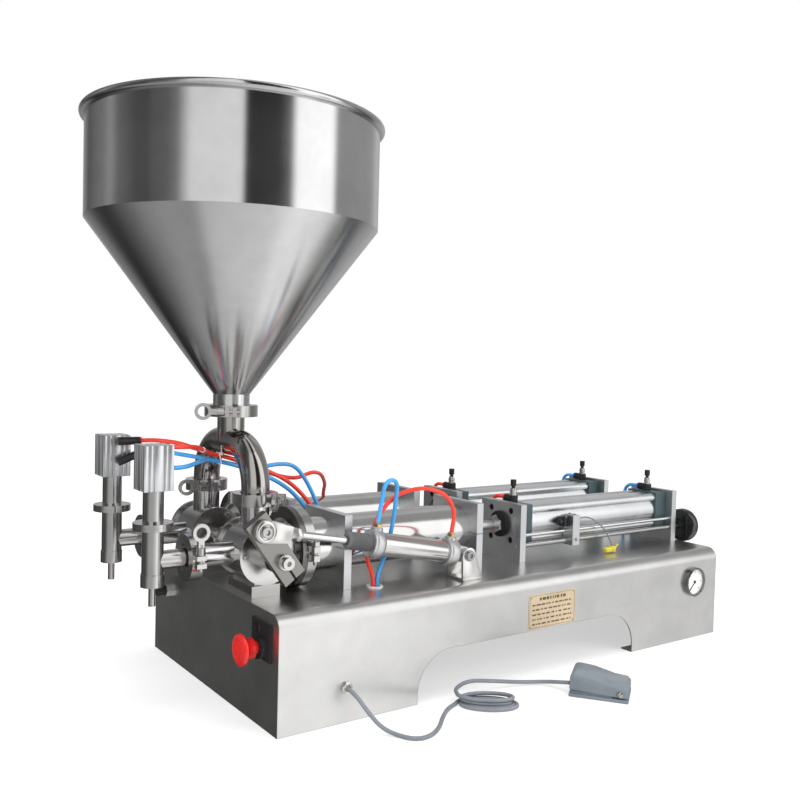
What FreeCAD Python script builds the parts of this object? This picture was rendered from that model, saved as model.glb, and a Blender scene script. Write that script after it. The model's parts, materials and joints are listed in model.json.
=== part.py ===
import FreeCAD, Part
import math
import os

import Sketcher
from FreeCAD import Placement, Rotation, Vector

# Twin-lane piston liquid filler on a folded stainless base.
# Row frame, millimetres: +X runs from the nozzles to the handwheel, the operator's long side
# faces -Y, +Z is up. The origin is the centre of the base's footprint, on the floor.

os.makedirs("parts", exist_ok=True)
doc = FreeCAD.newDocument("piston_filler")
sheet = doc.addObject("Spreadsheet::Sheet", "P")

SIZES = {
    # base cabinet
    "base_len": 864, "base_wid": 418, "base_ht": 150, "base_skin": 2, "base_edge": 18,
    "arch_len": 435, "arch_ht": 69, "arch_rad": 56, "arch_mid": -2.5, "foot_lip": 20,
    # the two lanes and the height of every process axis
    "lane": 81, "axis_ht": 206, "valve_x": -404, "nozzle_x": -544,
    # hopper
    "hopper_rad": 200, "hopper_skin": 2, "neck_rad": 25.5, "neck_top": 412,
    "cone_top": 645, "band_top": 783, "rim_wire": 5,
    # sanitary pipe work
    "pipe_rad": 19, "pipe_wall": 1.5, "elbow_rad": 57, "crown_ht": 345,
    "big_ferrule": 32, "small_ferrule": 25.25, "ferrule_thick": 4.5, "seal_thick": 1,
    "inlet_joint": 275.6, "hopper_joint": 389, "outlet_joint": -495,
    # rotary valves
    "barrel_rad": 36, "barrel_half": 34, "core_bore": 27, "core_fit": 0.08,
    "cap_rad": 39.5, "cap_thick": 6, "shaft_rad": 8, "hub_rad": 17,
    "pad_len": 41, "pad_wid": 73, "pad_ht": 16,
    # lever and its air cylinder
    "lever_y": -161, "lever_thick": 12, "lever_half": 16.5, "arm_x": -30, "arm_z": 42,
    "pin_rad": 4, "lever_hole": 9.4, "act_piv_x": -112, "act_piv_z": 187,
    "rod_rad": 5, "tube_rad": 16, "head_rad": 20, "nose_rad": 12,
    # metering cylinders
    "meter_rad": 38, "meter_bore": 35, "meter_front": -348, "meter_rear": -56,
    "flange_rad": 50, "guard_rad": 55.5, "saddle_half": 55, "saddle_top": 252,
    "saddle_thick": 12, "saddle_front_x": -296, "saddle_rear_x": -61,
    # air cylinders
    "plate_half": 47.5, "plate_top": 242, "plate_thick": 12, "plate_front_x": 36,
    "plate_rear_x": 409, "cap_half": 32.5, "cap_len": 27, "air_bore": 25,
    "bolt_pitch": 23.5, "air_rod": 10, "meter_rod": 8, "run_fit": 0.06,
    # stroke adjuster
    "adj_y": -122, "guide_z": 192, "screw_z": 176, "guide_rad": 3, "screw_rad": 4,
    "wheel_rad": 30, "carriage_x": 148, "carriage_len": 16,
    # filling nozzles
    "nozzle_rad": 13.5, "collar_rad": 14.5, "tip_rad": 4.5, "tip_end": 149,
    "nozzle_flange": 25, "bonnet_rad": 13, "block_side": 38, "block_low": 295, "block_top": 352,
    # air hoses
    "hose_rad": 3,
    # controls
    "gauge_x": 369, "gauge_z": 98, "gauge_rad": 25, "stop_y": -166, "stop_z": 103,
    "gland_x": -334, "gland_z": 45.5, "cord_rad": 2.75,
    # foot pedal
    "pedal_len": 82, "pedal_wid": 60, "pedal_high": 32, "pedal_low": 22,
}


class Dim:
    """A size that carries its value together with the sheet expression it comes from."""

    def __init__(self, value, expr):
        self.value = float(value)
        self.expr = expr

    def __float__(self):
        return self.value

    def __add__(self, other):
        return Dim(self.value + float(other), f"({self.expr} + {text_of(other)})")

    def __radd__(self, other):
        return self + other

    def __sub__(self, other):
        return Dim(self.value - float(other), f"({self.expr} - {text_of(other)})")

    def __rsub__(self, other):
        return Dim(float(other) - self.value, f"({text_of(other)} - {self.expr})")

    def __mul__(self, other):
        return Dim(self.value * float(other), f"({self.expr} * {text_of(other)})")

    def __rmul__(self, other):
        return self * other

    def __truediv__(self, other):
        return Dim(self.value / float(other), f"({self.expr} / {text_of(other)})")

    def __neg__(self):
        return self * -1


def text_of(number):
    if isinstance(number, Dim):
        return number.expr
    return f"({number})" if number < 0 else f"{number}"


for row, (name, size) in enumerate(SIZES.items(), start=1):
    sheet.set(f"A{row}", name)
    sheet.set(f"B{row}", str(size))
    sheet.setAlias(f"B{row}", name)
doc.recompute()
D = {name: Dim(size, f"P.{name}") for name, size in SIZES.items()}

# Rotations that send a shape's own +Z to the named axis.
UPRIGHT = Rotation()
ALONG = {
    "x": Rotation(Vector(0, 1, 0), 90),
    "y": Rotation(Vector(1, 0, 0), -90),
    "z": UPRIGHT,
}
TO_YZ = Rotation(Vector(1, 1, 1), 120)
TO_XZ = Rotation(Vector(1, 0, 0), 90)
counter = {}
NODES = []


def fresh(stem):
    counter[stem] = counter.get(stem, 0) + 1
    return f"{stem}_{counter[stem]:03d}"


def bind(thing, prop, size):
    if isinstance(size, Dim):
        thing.setExpression(prop, size.expr)
    else:
        setattr(thing, prop, size)


def place(thing, at, turn=UPRIGHT):
    thing.Placement = Placement(Vector(*[float(v) for v in at]), turn)
    for axis, v in zip("xyz", at):
        if isinstance(v, Dim):
            thing.setExpression(f"Placement.Base.{axis}", v.expr)
    return thing


def box(size, at):
    """A block given by its size and its low corner."""
    thing = doc.addObject("Part::Box", fresh("Block"))
    for prop, v in zip(("Length", "Width", "Height"), size):
        bind(thing, prop, v)
    return place(thing, at)


def slab(size, mid):
    """A block given by its size, its middle in X and Y, and its underside."""
    return box(size, (mid[0] - size[0] / 2, mid[1] - size[1] / 2, mid[2]))


def rod(rad, length, at, axis="z"):
    thing = doc.addObject("Part::Cylinder", fresh("Round"))
    bind(thing, "Radius", rad)
    bind(thing, "Height", length)
    return place(thing, at, ALONG[axis])


def cone(low, high, length, at, axis="z"):
    thing = doc.addObject("Part::Cone", fresh("Taper"))
    bind(thing, "Radius1", low)
    bind(thing, "Radius2", high)
    bind(thing, "Height", length)
    return place(thing, at, ALONG[axis])


def bead(ring_rad, wire_rad, at, axis="z"):
    thing = doc.addObject("Part::Torus", fresh("Bead"))
    bind(thing, "Radius1", ring_rad)
    bind(thing, "Radius2", wire_rad)
    return place(thing, at, ALONG[axis])


def hexagon(across, length, at, axis="z"):
    thing = doc.addObject("Part::Prism", fresh("Hexagon"))
    thing.Polygon = 6
    bind(thing, "Circumradius", across / math.sqrt(3))
    bind(thing, "Height", length)
    return place(thing, at, ALONG[axis])


def fuse(*things):
    joined = doc.addObject("Part::MultiFuse", fresh("Joined"))
    joined.Shapes = list(things)
    joined.Refine = True
    return joined


def cut(body, *tools):
    result = doc.addObject("Part::Cut", fresh("Trimmed"))
    result.Base = body
    result.Tool = tools[0] if len(tools) == 1 else fuse(*tools)
    return result


def group(*things):
    bundle = doc.addObject("Part::Compound", fresh("Group"))
    bundle.Links = list(things)
    return bundle


def coded(shape, at=(0, 0, 0), turn=UPRIGHT):
    thing = doc.addObject("Part::Feature", fresh("Shape"))
    thing.Shape = shape
    return place(thing, at, turn)


def node(label, thing):
    thing.Label = label
    NODES.append(thing)
    return thing


def tube(outer, inner, length, at, axis="z"):
    """A round ring or sleeve."""
    step = {"x": (1, 0, 0), "y": (0, 1, 0), "z": (0, 0, 1)}[axis]
    start = tuple(v - s for v, s in zip(at, step))
    return cut(rod(outer, length, at, axis), rod(inner, length + 2, start, axis))


def oval(long_rad, short_rad, height, low=0):
    """An upright slug with an elliptical outline."""
    rim = Part.Ellipse(Vector(0, 0, low), long_rad, short_rad).toShape()
    return coded(Part.Face(Part.Wire([rim])).extrude(Vector(0, 0, height)))


def outline_body(loops, depth, at, turn, circles=()):
    """A PartDesign pad of closed outlines with round holes, sketched on the body's XY plane."""
    body = doc.addObject("PartDesign::Body", fresh("Plate"))
    sketch = body.newObject("Sketcher::SketchObject", fresh("Outline"))
    plane = [f for f in body.Origin.OriginFeatures if f.Role == "XY_Plane"][0]
    sketch.AttachmentSupport = [(plane, "")]
    sketch.MapMode = "FlatFace"
    for loop in loops:
        first = sketch.GeometryCount
        count = len(loop)
        points = [Vector(float(u), float(v), 0) for u, v in loop]
        for i in range(count):
            sketch.addGeometry(Part.LineSegment(points[i], points[(i + 1) % count]), False)
        for i in range(count):
            sketch.addConstraint(
                Sketcher.Constraint("Coincident", first + i, 2, first + (i + 1) % count, 1)
            )
        for i, (u, v) in enumerate(loop):
            pin_point(sketch, first + i, 1, u, v)
    for u, v, rad in circles:
        ring = sketch.addGeometry(
            Part.Circle(Vector(float(u), float(v), 0), Vector(0, 0, 1), float(rad)), False
        )
        pin_point(sketch, ring, 3, u, v)
        spot = sketch.addConstraint(Sketcher.Constraint("Radius", ring, float(rad)))
        if isinstance(rad, Dim):
            sketch.setExpression(f"Constraints[{spot}]", rad.expr)
    pad = body.newObject("PartDesign::Pad", fresh("Pad"))
    pad.Profile = sketch
    bind(pad, "Length", depth)
    body.Tip = pad
    return place(body, at, turn)


def pin_point(sketch, item, end, u, v):
    """Hold one sketch point by its two distances from the sketch origin."""
    for kind, value, axis_line in (("DistanceX", u, -2), ("DistanceY", v, -1)):
        if abs(float(value)) < 1e-9:
            sketch.addConstraint(Sketcher.Constraint("PointOnObject", item, end, axis_line))
            continue
        spot = sketch.addConstraint(Sketcher.Constraint(kind, -1, 1, item, end, float(value)))
        if isinstance(value, Dim):
            sketch.setExpression(f"Constraints[{spot}]", value.expr)


def bend_wire(points, share=0.45):
    """Straight runs joined by tangent arcs, each arc set by the shorter of its two runs."""
    pts = [Vector(*[float(v) for v in p]) for p in points]
    edges = []
    start = pts[0]
    for before, corner, after in zip(pts, pts[1:], pts[2:]):
        into, away = corner - before, after - corner
        trim = share * min(into.Length, away.Length)
        into.normalize()
        away.normalize()
        enter = corner - into * trim
        leave = corner + away * trim
        half = into.getAngle(away) / 2
        lift = (away - into).normalize()
        radius = trim / math.tan(half)
        centre = corner + lift * (radius / math.cos(half))
        middle = centre + (corner - centre).normalize() * radius
        edges.append(Part.LineSegment(start, enter).toShape())
        edges.append(Part.Arc(enter, middle, leave).toShape())
        start = leave
    edges.append(Part.LineSegment(start, pts[-1]).toShape())
    return Part.Wire(edges)


def hose_shape(points, rad, share=0.45):
    wire = bend_wire(points, share)
    first = wire.OrderedEdges[0]
    start = first.valueAt(first.FirstParameter)
    heading = first.tangentAt(first.FirstParameter)
    section = Part.Wire([Part.Circle(start, heading, float(rad)).toShape()])
    solid = wire.makePipeShell([section], True, True)
    length = sum(edge.Length for edge in wire.Edges)
    ideal = math.pi * float(rad) ** 2 * length
    if abs(solid.Volume - ideal) > 0.01 * ideal:
        print("hose volume differs from section times length", solid.Volume, ideal)
    return solid


# ---------------------------------------------------------------- base cabinet
def arch_block(length, width, height, rad, at, turn):
    """A block along its own X with its two long top edges rounded."""
    half = width / 2
    low = height - rad
    pieces = [
        box((length, width, low), (0, -half, 0)),
        box((length, width - 2 * rad, height), (0, rad - half, 0)),
        rod(rad, length, (0, half - rad, low), "x"),
        rod(rad, length, (0, rad - half, low), "x"),
    ]
    return place(fuse(*pieces), at, turn)


length, width, height = D["base_len"], D["base_wid"], D["base_ht"]
skin, edge = D["base_skin"], D["base_edge"]
outer = arch_block(length, width, height, edge, (-length / 2, 0, 0), UPRIGHT)
inner = arch_block(
    length - 2 * skin, width - 2 * skin, height - skin + 1, edge - skin,
    (skin - length / 2, 0, -1), UPRIGHT,
)
arch = arch_block(
    width + 20, D["arch_len"], D["arch_ht"] + 1, D["arch_rad"],
    (D["arch_mid"], -width / 2 - 10, -1), Rotation(Vector(0, 0, 1), 90),
)
stop_hole = rod(11.1, 20, (-length / 2 - 10, D["stop_y"], D["stop_z"]), "x")
switch_hole = box((20, 17, 9), (-length / 2 - 10, -164.5, 120.5))
air_hole = rod(6.6, 20, (-length / 2 - 10, 148, 105), "x")
gland_hole = rod(6.1, 20, (D["gland_x"], -width / 2 - 10, D["gland_z"]), "y")
gauge_hole = rod(20.2, 20, (D["gauge_x"], -width / 2 - 10, D["gauge_z"]), "y")
HOSE_WELLS = [
    (-248, -141, 9), (-248, -9, 12), (-170, 138, 9),
    (61.5, -29, 9), (61.5, 133, 9), (395.5, -29, 9), (395.5, 133, 9),
]
wells = [rod(rad + 0.1, 20, (x, y, height - 10)) for x, y, rad in HOSE_WELLS]
cabinet = cut(
    outer, inner, arch, stop_hole, switch_hole, air_hole, gland_hole, gauge_hole, *wells
)
lips = []
foot_x = (skin - length / 2, D["arch_mid"] + D["arch_len"] / 2)
foot_len = (length - D["arch_len"]) / 2 - skin
for low_x, run in zip(foot_x, (foot_len + D["arch_mid"], foot_len - D["arch_mid"])):
    lips.append(box((run, D["foot_lip"], skin), (low_x, skin - width / 2, 0)))
    lips.append(box((run, D["foot_lip"], skin), (low_x, width / 2 - skin - D["foot_lip"], 0)))
node("base_cabinet", fuse(cabinet, *lips))

# ---------------------------------------------------------------- hopper
vx = D["valve_x"]
axis = D["axis_ht"]
joint = D["hopper_joint"]
wall = D["hopper_skin"]
bowl_rad, neck = D["hopper_rad"], D["neck_rad"]
cone_run = D["cone_top"] - D["neck_top"]
band_run = D["band_top"] - D["cone_top"]
neck_low = joint + D["seal_thick"] / 2
bowl = fuse(
    rod(D["big_ferrule"], D["ferrule_thick"], (vx, 0, neck_low)),
    rod(neck, D["neck_top"] - neck_low, (vx, 0, neck_low)),
    cone(neck, bowl_rad, cone_run, (vx, 0, D["neck_top"])),
    rod(bowl_rad, band_run, (vx, 0, D["cone_top"])),
    bead(bowl_rad + 2, D["rim_wire"], (vx, 0, D["band_top"])),
)
hollow = fuse(
    rod(neck - wall, D["neck_top"] - neck_low + 2, (vx, 0, neck_low - 2)),
    cone(neck - wall, bowl_rad - wall, cone_run, (vx, 0, D["neck_top"])),
    rod(bowl_rad - wall, band_run + 20, (vx, 0, D["cone_top"])),
)
node("hopper_bowl", cut(bowl, hollow))

# ---------------------------------------------------------------- inlet manifold, one crown pipe
lane, pipe, crown = D["lane"], D["pipe_rad"], D["crown_ht"]
leg_low = D["inlet_joint"] + D["seal_thick"] / 2
crown_points = [
    (vx, -lane, leg_low), (vx, -lane, crown), (vx, lane, crown), (vx, lane, leg_low)
]


def crown_pipe(rad, low, high):
    """Both legs, the crown between them and the riser under the hopper."""
    z0, z1, r = float(low), float(crown), float(D["elbow_rad"])
    y, x = float(lane), float(vx)
    edges = []
    for side in (-1, 1):
        knee = Vector(x, side * (y - r), z1 - r)
        spread = r / math.sqrt(2)
        leg = Part.LineSegment(Vector(x, side * y, z0), Vector(x, side * y, z1 - r))
        elbow = Part.Arc(
            Vector(x, side * y, z1 - r),
            knee + Vector(0, side * spread, spread),
            Vector(x, side * (y - r), z1),
        )
        run = Part.LineSegment(Vector(x, side * (y - r), z1), Vector(x, 0, z1))
        edges.append([leg.toShape(), elbow.toShape(), run.toShape()])
    solids = []
    for path in edges:
        ring = Part.Circle(Vector(x, path[0].Vertexes[0].Y, z0), Vector(0, 0, 1), rad).toShape()
        solids.append(Part.Wire(path).makePipeShell([Part.Wire([ring])], True, True))
    riser = Part.makeCylinder(rad, float(high) - z1, Vector(x, 0, z1))
    return solids[0].fuse([solids[1], riser])


riser_top = joint - D["seal_thick"] / 2
crown_outer = crown_pipe(float(pipe), leg_low, riser_top)
crown_inner = crown_pipe(float(pipe - D["pipe_wall"]), leg_low - 1, riser_top + 1)
ferrules = [
    Part.makeCylinder(
        float(D["small_ferrule"]), float(D["ferrule_thick"]),
        Vector(float(vx), side * float(lane), float(leg_low)),
    )
    for side in (-1, 1)
]
top_ferrule = Part.makeCylinder(
    float(D["big_ferrule"]), float(D["ferrule_thick"]),
    Vector(float(vx), 0, float(riser_top - D["ferrule_thick"])),
)
crown_shape = crown_outer.fuse([*ferrules, top_ferrule]).cut(crown_inner)
node("inlet_manifold", coded(crown_shape))

# ---------------------------------------------------------------- rotary valves
SCREW_RING = [(31.5 * math.cos(a), 31.5 * math.sin(a)) for a in (math.radians(t) for t in (60, 180, 300))]
SIDES = {"near": -1, "far": 1}
lane_y = {name: side * lane for name, side in SIDES.items()}
barrel, half = D["barrel_rad"], D["barrel_half"]
outlet = D["outlet_joint"]
valve_seat = D["inlet_joint"] - D["seal_thick"] / 2
PORT = 14
for name, y in lane_y.items():
    barrel_run = rod(barrel, 2 * half, (vx, y - half, axis), "y")
    top_port = rod(pipe, valve_seat - axis, (vx, y, axis))
    top_lip = rod(D["small_ferrule"], D["ferrule_thick"], (vx, y, valve_seat - D["ferrule_thick"]))
    out_end = outlet + D["seal_thick"] / 2
    out_port = rod(15, vx - out_end, (out_end, y, axis), "x")
    out_lip = rod(D["small_ferrule"], D["ferrule_thick"], (out_end, y, axis), "x")
    rear_port = rod(22, 44, (vx, y, axis), "x")
    rear_lip = rod(40, 4, (vx + 40, y, axis), "x")
    body = fuse(barrel_run, top_port, top_lip, out_port, out_lip, rear_port, rear_lip)
    core_bore = rod(D["core_bore"], 2 * half + 2, (vx, y - half - 1, axis), "y")
    top_way = rod(pipe - D["pipe_wall"], valve_seat - axis + 1, (vx, y, axis))
    out_way = rod(12, vx - out_end + 1, (out_end - 1, y, axis), "x")
    rear_way = rod(PORT, 46, (vx, y, axis), "x")
    taps = [
        rod(2.1, 9, (vx + u, y + face, axis + v), "y")
        for u, v in SCREW_RING for face in (-half - 1, half - 8)
    ]
    node(f"valve_body_{name}", cut(body, core_bore, top_way, out_way, rear_way, *taps))

pads = []
for y in lane_y.values():
    foot = slab((D["pad_len"], D["pad_wid"], D["pad_ht"]), (vx, y, height))
    rise = slab((30, 2 * half - 2, axis - height - 20), (vx, y, height))
    pads.append(cut(fuse(foot, rise), rod(barrel + 0.1, 80, (vx, y - 40, axis), "y")))
node("valve_pedestals", group(*pads))

caps = []
for side in SIDES.values():
    for face in (-1, 1):
        start = side * lane + (half if face > 0 else -half - D["cap_thick"])
        plate = rod(D["cap_rad"], D["cap_thick"], (vx, start, axis), "y")
        parts_of_cap = [plate]
        if side < 0 and face < 0:
            parts_of_cap.append(rod(D["hub_rad"], 24, (vx, start - 24, axis), "y"))
        bore = rod(D["shaft_rad"] + D["run_fit"], 60, (vx, start - 30, axis), "y")
        holes = [rod(2.1, 8, (vx + u, start - 1, axis + v), "y") for u, v in SCREW_RING]
        caps.append(cut(fuse(*parts_of_cap) if len(parts_of_cap) > 1 else plate, bore, *holes))
node("valve_caps", group(*caps))

core_rad = D["core_bore"] - D["core_fit"]
spindle = [rod(D["shaft_rad"], 305, (vx, -180, axis), "y")]
cores = []
for y in lane_y.values():
    plug = rod(core_rad, 2 * half - 0.6, (vx, y - half + 0.3, axis), "y")
    pocket = box((60, 44, 60), (vx - 14, y - 22, axis - 30))
    cores.append(cut(plug, pocket))
collar = rod(15, 40, (vx, -20, axis), "y")
socket = hexagon(6, 6, (vx, -181, axis), "y")
node("valve_spindle", cut(fuse(*spindle, *cores, collar), socket))

# ---------------------------------------------------------------- lever on the near valve
arm_x, arm_z, lever_y = D["arm_x"], D["arm_z"], D["lever_y"]
arm = math.hypot(float(arm_x), float(arm_z))
arm_deg = math.degrees(math.atan2(float(arm_z), float(arm_x)))
lever_turn = Rotation(Vector(0, 1, 0), -arm_deg) * TO_XZ
wide = D["lever_half"]
bar = [(-28, -wide), (arm + 18, -wide), (arm + 18, wide), (-28, wide)]
blank = outline_body(
    [bar], D["lever_thick"], (vx, lever_y + D["lever_thick"] / 2, axis), lever_turn,
    circles=[(0, 0, D["shaft_rad"]), (arm, 0, D["lever_hole"])],
)
slit = coded(
    Part.makeBox(24, 3, 30, Vector(-30, -1.5, -10)), (vx, lever_y + 8, axis), lever_turn
)
node("valve_lever", cut(blank, slit))

# ---------------------------------------------------------------- air cylinder that works the lever
piv_x, piv_z = D["act_piv_x"], D["act_piv_z"]
pin_x, pin_z = vx + arm_x, axis + arm_z
reach = math.hypot(float(pin_x - piv_x), float(pin_z - piv_z))
slope = math.degrees(math.atan2(float(pin_z - piv_z), float(pin_x - piv_x)))
act_turn = Rotation(Vector(0, 1, 0), -slope)
act_at = (piv_x, lever_y, piv_z)
HEAD_REAR, HEAD_FRONT, NOSE = (13, 34), (146, 165), (165, 200)
BORE = 13


def on_actuator(thing):
    """Stand a shape built along +X from the rear pivot onto the cylinder's own line."""
    return place(thing, act_at, act_turn)


ear = fuse(rod(11, 20, (0, -10, 0), "y"), box((14, 20, 22), (0, -10, -11)))
rear_head = rod(D["head_rad"], HEAD_REAR[1] - HEAD_REAR[0], (HEAD_REAR[0], 0, 0), "x")
front_head = rod(D["head_rad"], HEAD_FRONT[1] - HEAD_FRONT[0], (HEAD_FRONT[0], 0, 0), "x")
sleeve = rod(D["tube_rad"], HEAD_FRONT[0] - HEAD_REAR[1], (HEAD_REAR[1], 0, 0), "x")
nose = rod(D["nose_rad"], NOSE[1] - NOSE[0], (NOSE[0], 0, 0), "x")
FITTING_X = (24, 155)
ports = [rod(4.7, 14, (x, 0, -28)) for x in FITTING_X]
act_body = cut(
    fuse(ear, rear_head, front_head, sleeve, nose),
    rod(BORE, HEAD_FRONT[0] - HEAD_REAR[1] + 4, (HEAD_REAR[1], 0, 0), "x"),
    rod(D["rod_rad"] + D["run_fit"], 60, (145, 0, 0), "x"),
    rod(5.05, 30, (0, -15, 0), "y"),
    *ports,
)
node("lever_cylinder", on_actuator(act_body))
fittings = [fuse(rod(4.6, 13, (x, 0, -28)), hexagon(11, 5, (x, 0, -26))) for x in FITTING_X]
node("lever_cylinder_fittings", on_actuator(group(*fittings)))

CLEVIS_LEN, SLOT_LEN = 48, 38
clevis_low = reach - CLEVIS_LEN
piston_rod = fuse(
    rod(BORE - D["run_fit"], 15, (125, 0, 0), "x"),
    rod(D["rod_rad"], clevis_low + 6 - 140, (140, 0, 0), "x"),
)
node("lever_piston_rod", on_actuator(piston_rod))
fork = fuse(
    hexagon(17, 8, (clevis_low - 8, 0, 0), "x"),
    rod(10, CLEVIS_LEN - SLOT_LEN, (clevis_low, 0, 0), "x"),
    box((SLOT_LEN + 2, 30, 18), (reach - SLOT_LEN - 2, -15, -9)),
    rod(15, 30, (reach, -15, 0), "y"),
)
fork_slot = box((60, 13.2, 40), (reach - SLOT_LEN, -6.6, -20))
rod_hole = rod(D["rod_rad"], 16, (clevis_low - 9, 0, 0), "x")
pin = fuse(rod(D["pin_rad"], 34, (reach, -19, 0), "y"), rod(8, 4, (reach, -19, 0), "y"))
node("lever_clevis", on_actuator(fuse(cut(fork, fork_slot, rod_hole), pin)))

cheek = [
    (-10, height), (26, height), (13, 188), (9, 195), (3, 198), (-4, 198), (-10, 194)
]
cheeks = [
    outline_body(
        [[(piv_x + u, v) for u, v in cheek]], 4, (0, lever_y + y, 0), TO_XZ,
        circles=[(piv_x, piv_z, 4.9)],
    )
    for y in (-15, 19)
]
bracket_foot = box((36, 38, 4), (piv_x - 10, lever_y - 19, height))
pivot_pin = fuse(
    rod(5, 42, (piv_x, lever_y - 21, piv_z), "y"),
    rod(8, 5, (piv_x, lever_y - 25, piv_z), "y"),
    hexagon(13, 5, (piv_x, lever_y + 19.5, piv_z), "y"),
)
node("lever_cylinder_bracket", fuse(*cheeks, bracket_foot, pivot_pin))

# ---------------------------------------------------------------- metering cylinders
front, rear = D["meter_front"], D["meter_rear"]
outer_rad, bore_rad = D["meter_rad"], D["meter_bore"]
head_face = vx + 44
tubes, heads = [], []
for y in lane_y.values():
    body = fuse(
        rod(outer_rad, rear - front, (front, y, axis), "x"),
        rod(D["flange_rad"], 5, (front, y, axis), "x"),
    )
    tubes.append(cut(body, rod(bore_rad, 320, (front - 5, y, axis), "x")))
    head = fuse(
        rod(D["guard_rad"], 8, (head_face, y, axis), "x"),
        rod(D["flange_rad"], 11.8, (head_face, y, axis), "x"),
    )
    heads.append(cut(head, rod(PORT, 30, (head_face - 5, y, axis), "x")))
node("metering_tubes", group(*tubes))
node("metering_heads", group(*heads))

saddles, straps = [], []
saddle_mid = axis - 0.5
for x in (D["saddle_front_x"], D["saddle_rear_x"]):
    for y in lane_y.values():
        size = (D["saddle_thick"], 2 * D["saddle_half"], saddle_mid - height)
        low = box(size, (x, y - D["saddle_half"], height))
        top_size = (D["saddle_thick"], 2 * D["saddle_half"], D["saddle_top"] - axis - 0.5)
        top = box(top_size, (x, y - D["saddle_half"], axis + 0.5))
        seat = rod(outer_rad + 0.05, 40, (x - 10, y, axis), "x")
        saddles.append(cut(low, seat))
        straps.append(cut(top, rod(outer_rad + 0.05, 40, (x - 10, y, axis), "x")))
node("tube_saddles", group(*saddles, *straps))

# ---------------------------------------------------------------- air cylinders and their plates
plate_half, plate_thick = D["plate_half"], D["plate_thick"]
plate_z = (height + D["plate_top"]) / 2
bolt = D["bolt_pitch"]
BOLTS = [(u, v) for u in (-1, 1) for v in (-1, 1)]
front_x, rear_x = D["plate_front_x"], D["plate_rear_x"]
adj_y, guide_z, screw_z = D["adj_y"], D["guide_z"], D["screw_z"]
plates = []
for x in (front_x, rear_x):
    for name, y in lane_y.items():
        frame = [
            (y - plate_half, height), (y + plate_half, height),
            (y + plate_half, D["plate_top"]), (y - plate_half, D["plate_top"]),
        ]
        holes = [(y + u * bolt, axis + v * bolt, 3.2) for u, v in BOLTS]
        if x is front_x:
            holes.append((y, axis, 12))
        if name == "near":
            holes.append((adj_y, guide_z, D["guide_rad"] + 0.03))
            holes.append((adj_y, screw_z, D["screw_rad"] + D["run_fit"]))
        blank = outline_body([frame], plate_thick, (x, 0, 0), TO_YZ, circles=holes)
        sink_x = x - 1 if x is front_x else x + plate_thick - 6.4
        sinks = [rod(5.3, 7.4, (sink_x, y + u * bolt, axis + v * bolt), "x") for u, v in BOLTS]
        plates.append(cut(blank, *sinks))
node("cylinder_plates", group(*plates))

cap_half, cap_len, air_bore = D["cap_half"], D["cap_len"], D["air_bore"]
front_cap_x = front_x + plate_thick
rear_cap_x = rear_x - cap_len
VALVE_SPOTS = [front_cap_x + cap_len / 2, rear_cap_x + cap_len / 2]
caps, barrels = [], []
for y in lane_y.values():
    for x in (front_cap_x, rear_cap_x):
        block = slab((cap_len, 2 * cap_half, 2 * cap_half), (x + cap_len / 2, y, axis - cap_half))
        tools = [rod(5.1, 9, (x + cap_len / 2, y, axis + cap_half - 8))]
        drill_x = x - 1 if x is front_cap_x else x + cap_len - 13
        for u, v in BOLTS:
            tools.append(rod(3.05, 14, (drill_x, y + u * bolt, axis + v * bolt), "x"))
        if x is front_cap_x:
            tools.append(rod(D["air_rod"] + D["run_fit"], 40, (x - 5, y, axis), "x"))
        caps.append(cut(block, *tools))
    run = rear_cap_x - front_cap_x - cap_len
    x = front_cap_x + cap_len
    ribs = [rod(7.5, run, (x, y + u * 23, axis + v * 23), "x") for u, v in BOLTS]
    profile = fuse(rod(30, run, (x, y, axis), "x"), *ribs)
    barrels.append(cut(profile, rod(air_bore, run + 2, (x - 1, y, axis), "x")))
node("cylinder_caps", group(*caps))
node("cylinder_barrels", group(*barrels))

bushes = [
    tube(21, D["air_rod"] + D["run_fit"], 5, (front_x - 5, y, axis), "x")
    for y in lane_y.values()
]

METER_PISTON, AIR_PISTON = (-96, -66), (350, 378)
for name, y in lane_y.items():
    metering = fuse(
        rod(bore_rad - D["run_fit"], 30, (METER_PISTON[0], y, axis), "x"),
        rod(D["meter_rod"], 22 - METER_PISTON[1], (METER_PISTON[1], y, axis), "x"),
    )
    node(f"metering_piston_{name}", metering)
    air = fuse(
        hexagon(26, 8, (22, y, axis), "x"),
        rod(D["air_rod"], AIR_PISTON[1] - 22, (22, y, axis), "x"),
        rod(air_bore - D["run_fit"], AIR_PISTON[1] - AIR_PISTON[0], (AIR_PISTON[0], y, axis), "x"),
    )
    node(f"air_piston_{name}", air)

# ---------------------------------------------------------------- stroke adjuster, near lane
guide_len = rear_x + plate_thick - front_x
node("guide_rod", rod(D["guide_rad"], guide_len, (front_x, adj_y, guide_z), "x"))
screw_low = front_x + 2
wheel_x = rear_x + plate_thick + 19
node("adjusting_screw", rod(D["screw_rad"], wheel_x + 14 - screw_low, (screw_low, adj_y, screw_z), "x"))
wheel = fuse(
    rod(D["wheel_rad"], 20, (wheel_x, adj_y, screw_z), "x"),
    rod(9, 26, (wheel_x - 6, adj_y, screw_z), "x"),
)
node("handwheel", cut(wheel, rod(D["screw_rad"], 20.1, (wheel_x - 6.1, adj_y, screw_z), "x")))
carriage_x, carriage_len = D["carriage_x"], D["carriage_len"]
block = slab((carriage_len, 21, 50), (carriage_x + carriage_len / 2, adj_y - 1.5, 168))
node("sensor_carriage", cut(
    block,
    rod(D["guide_rad"] + D["run_fit"], 40, (carriage_x - 10, adj_y, guide_z), "x"),
    rod(D["screw_rad"] + D["run_fit"], 40, (carriage_x - 10, adj_y, screw_z), "x"),
))
sensor = fuse(
    box((12, 13, 16), (carriage_x - 12, adj_y - 4.2, 199)),
    rod(5, 8, (carriage_x - 20, adj_y + 2, 207), "x"),
)
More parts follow.
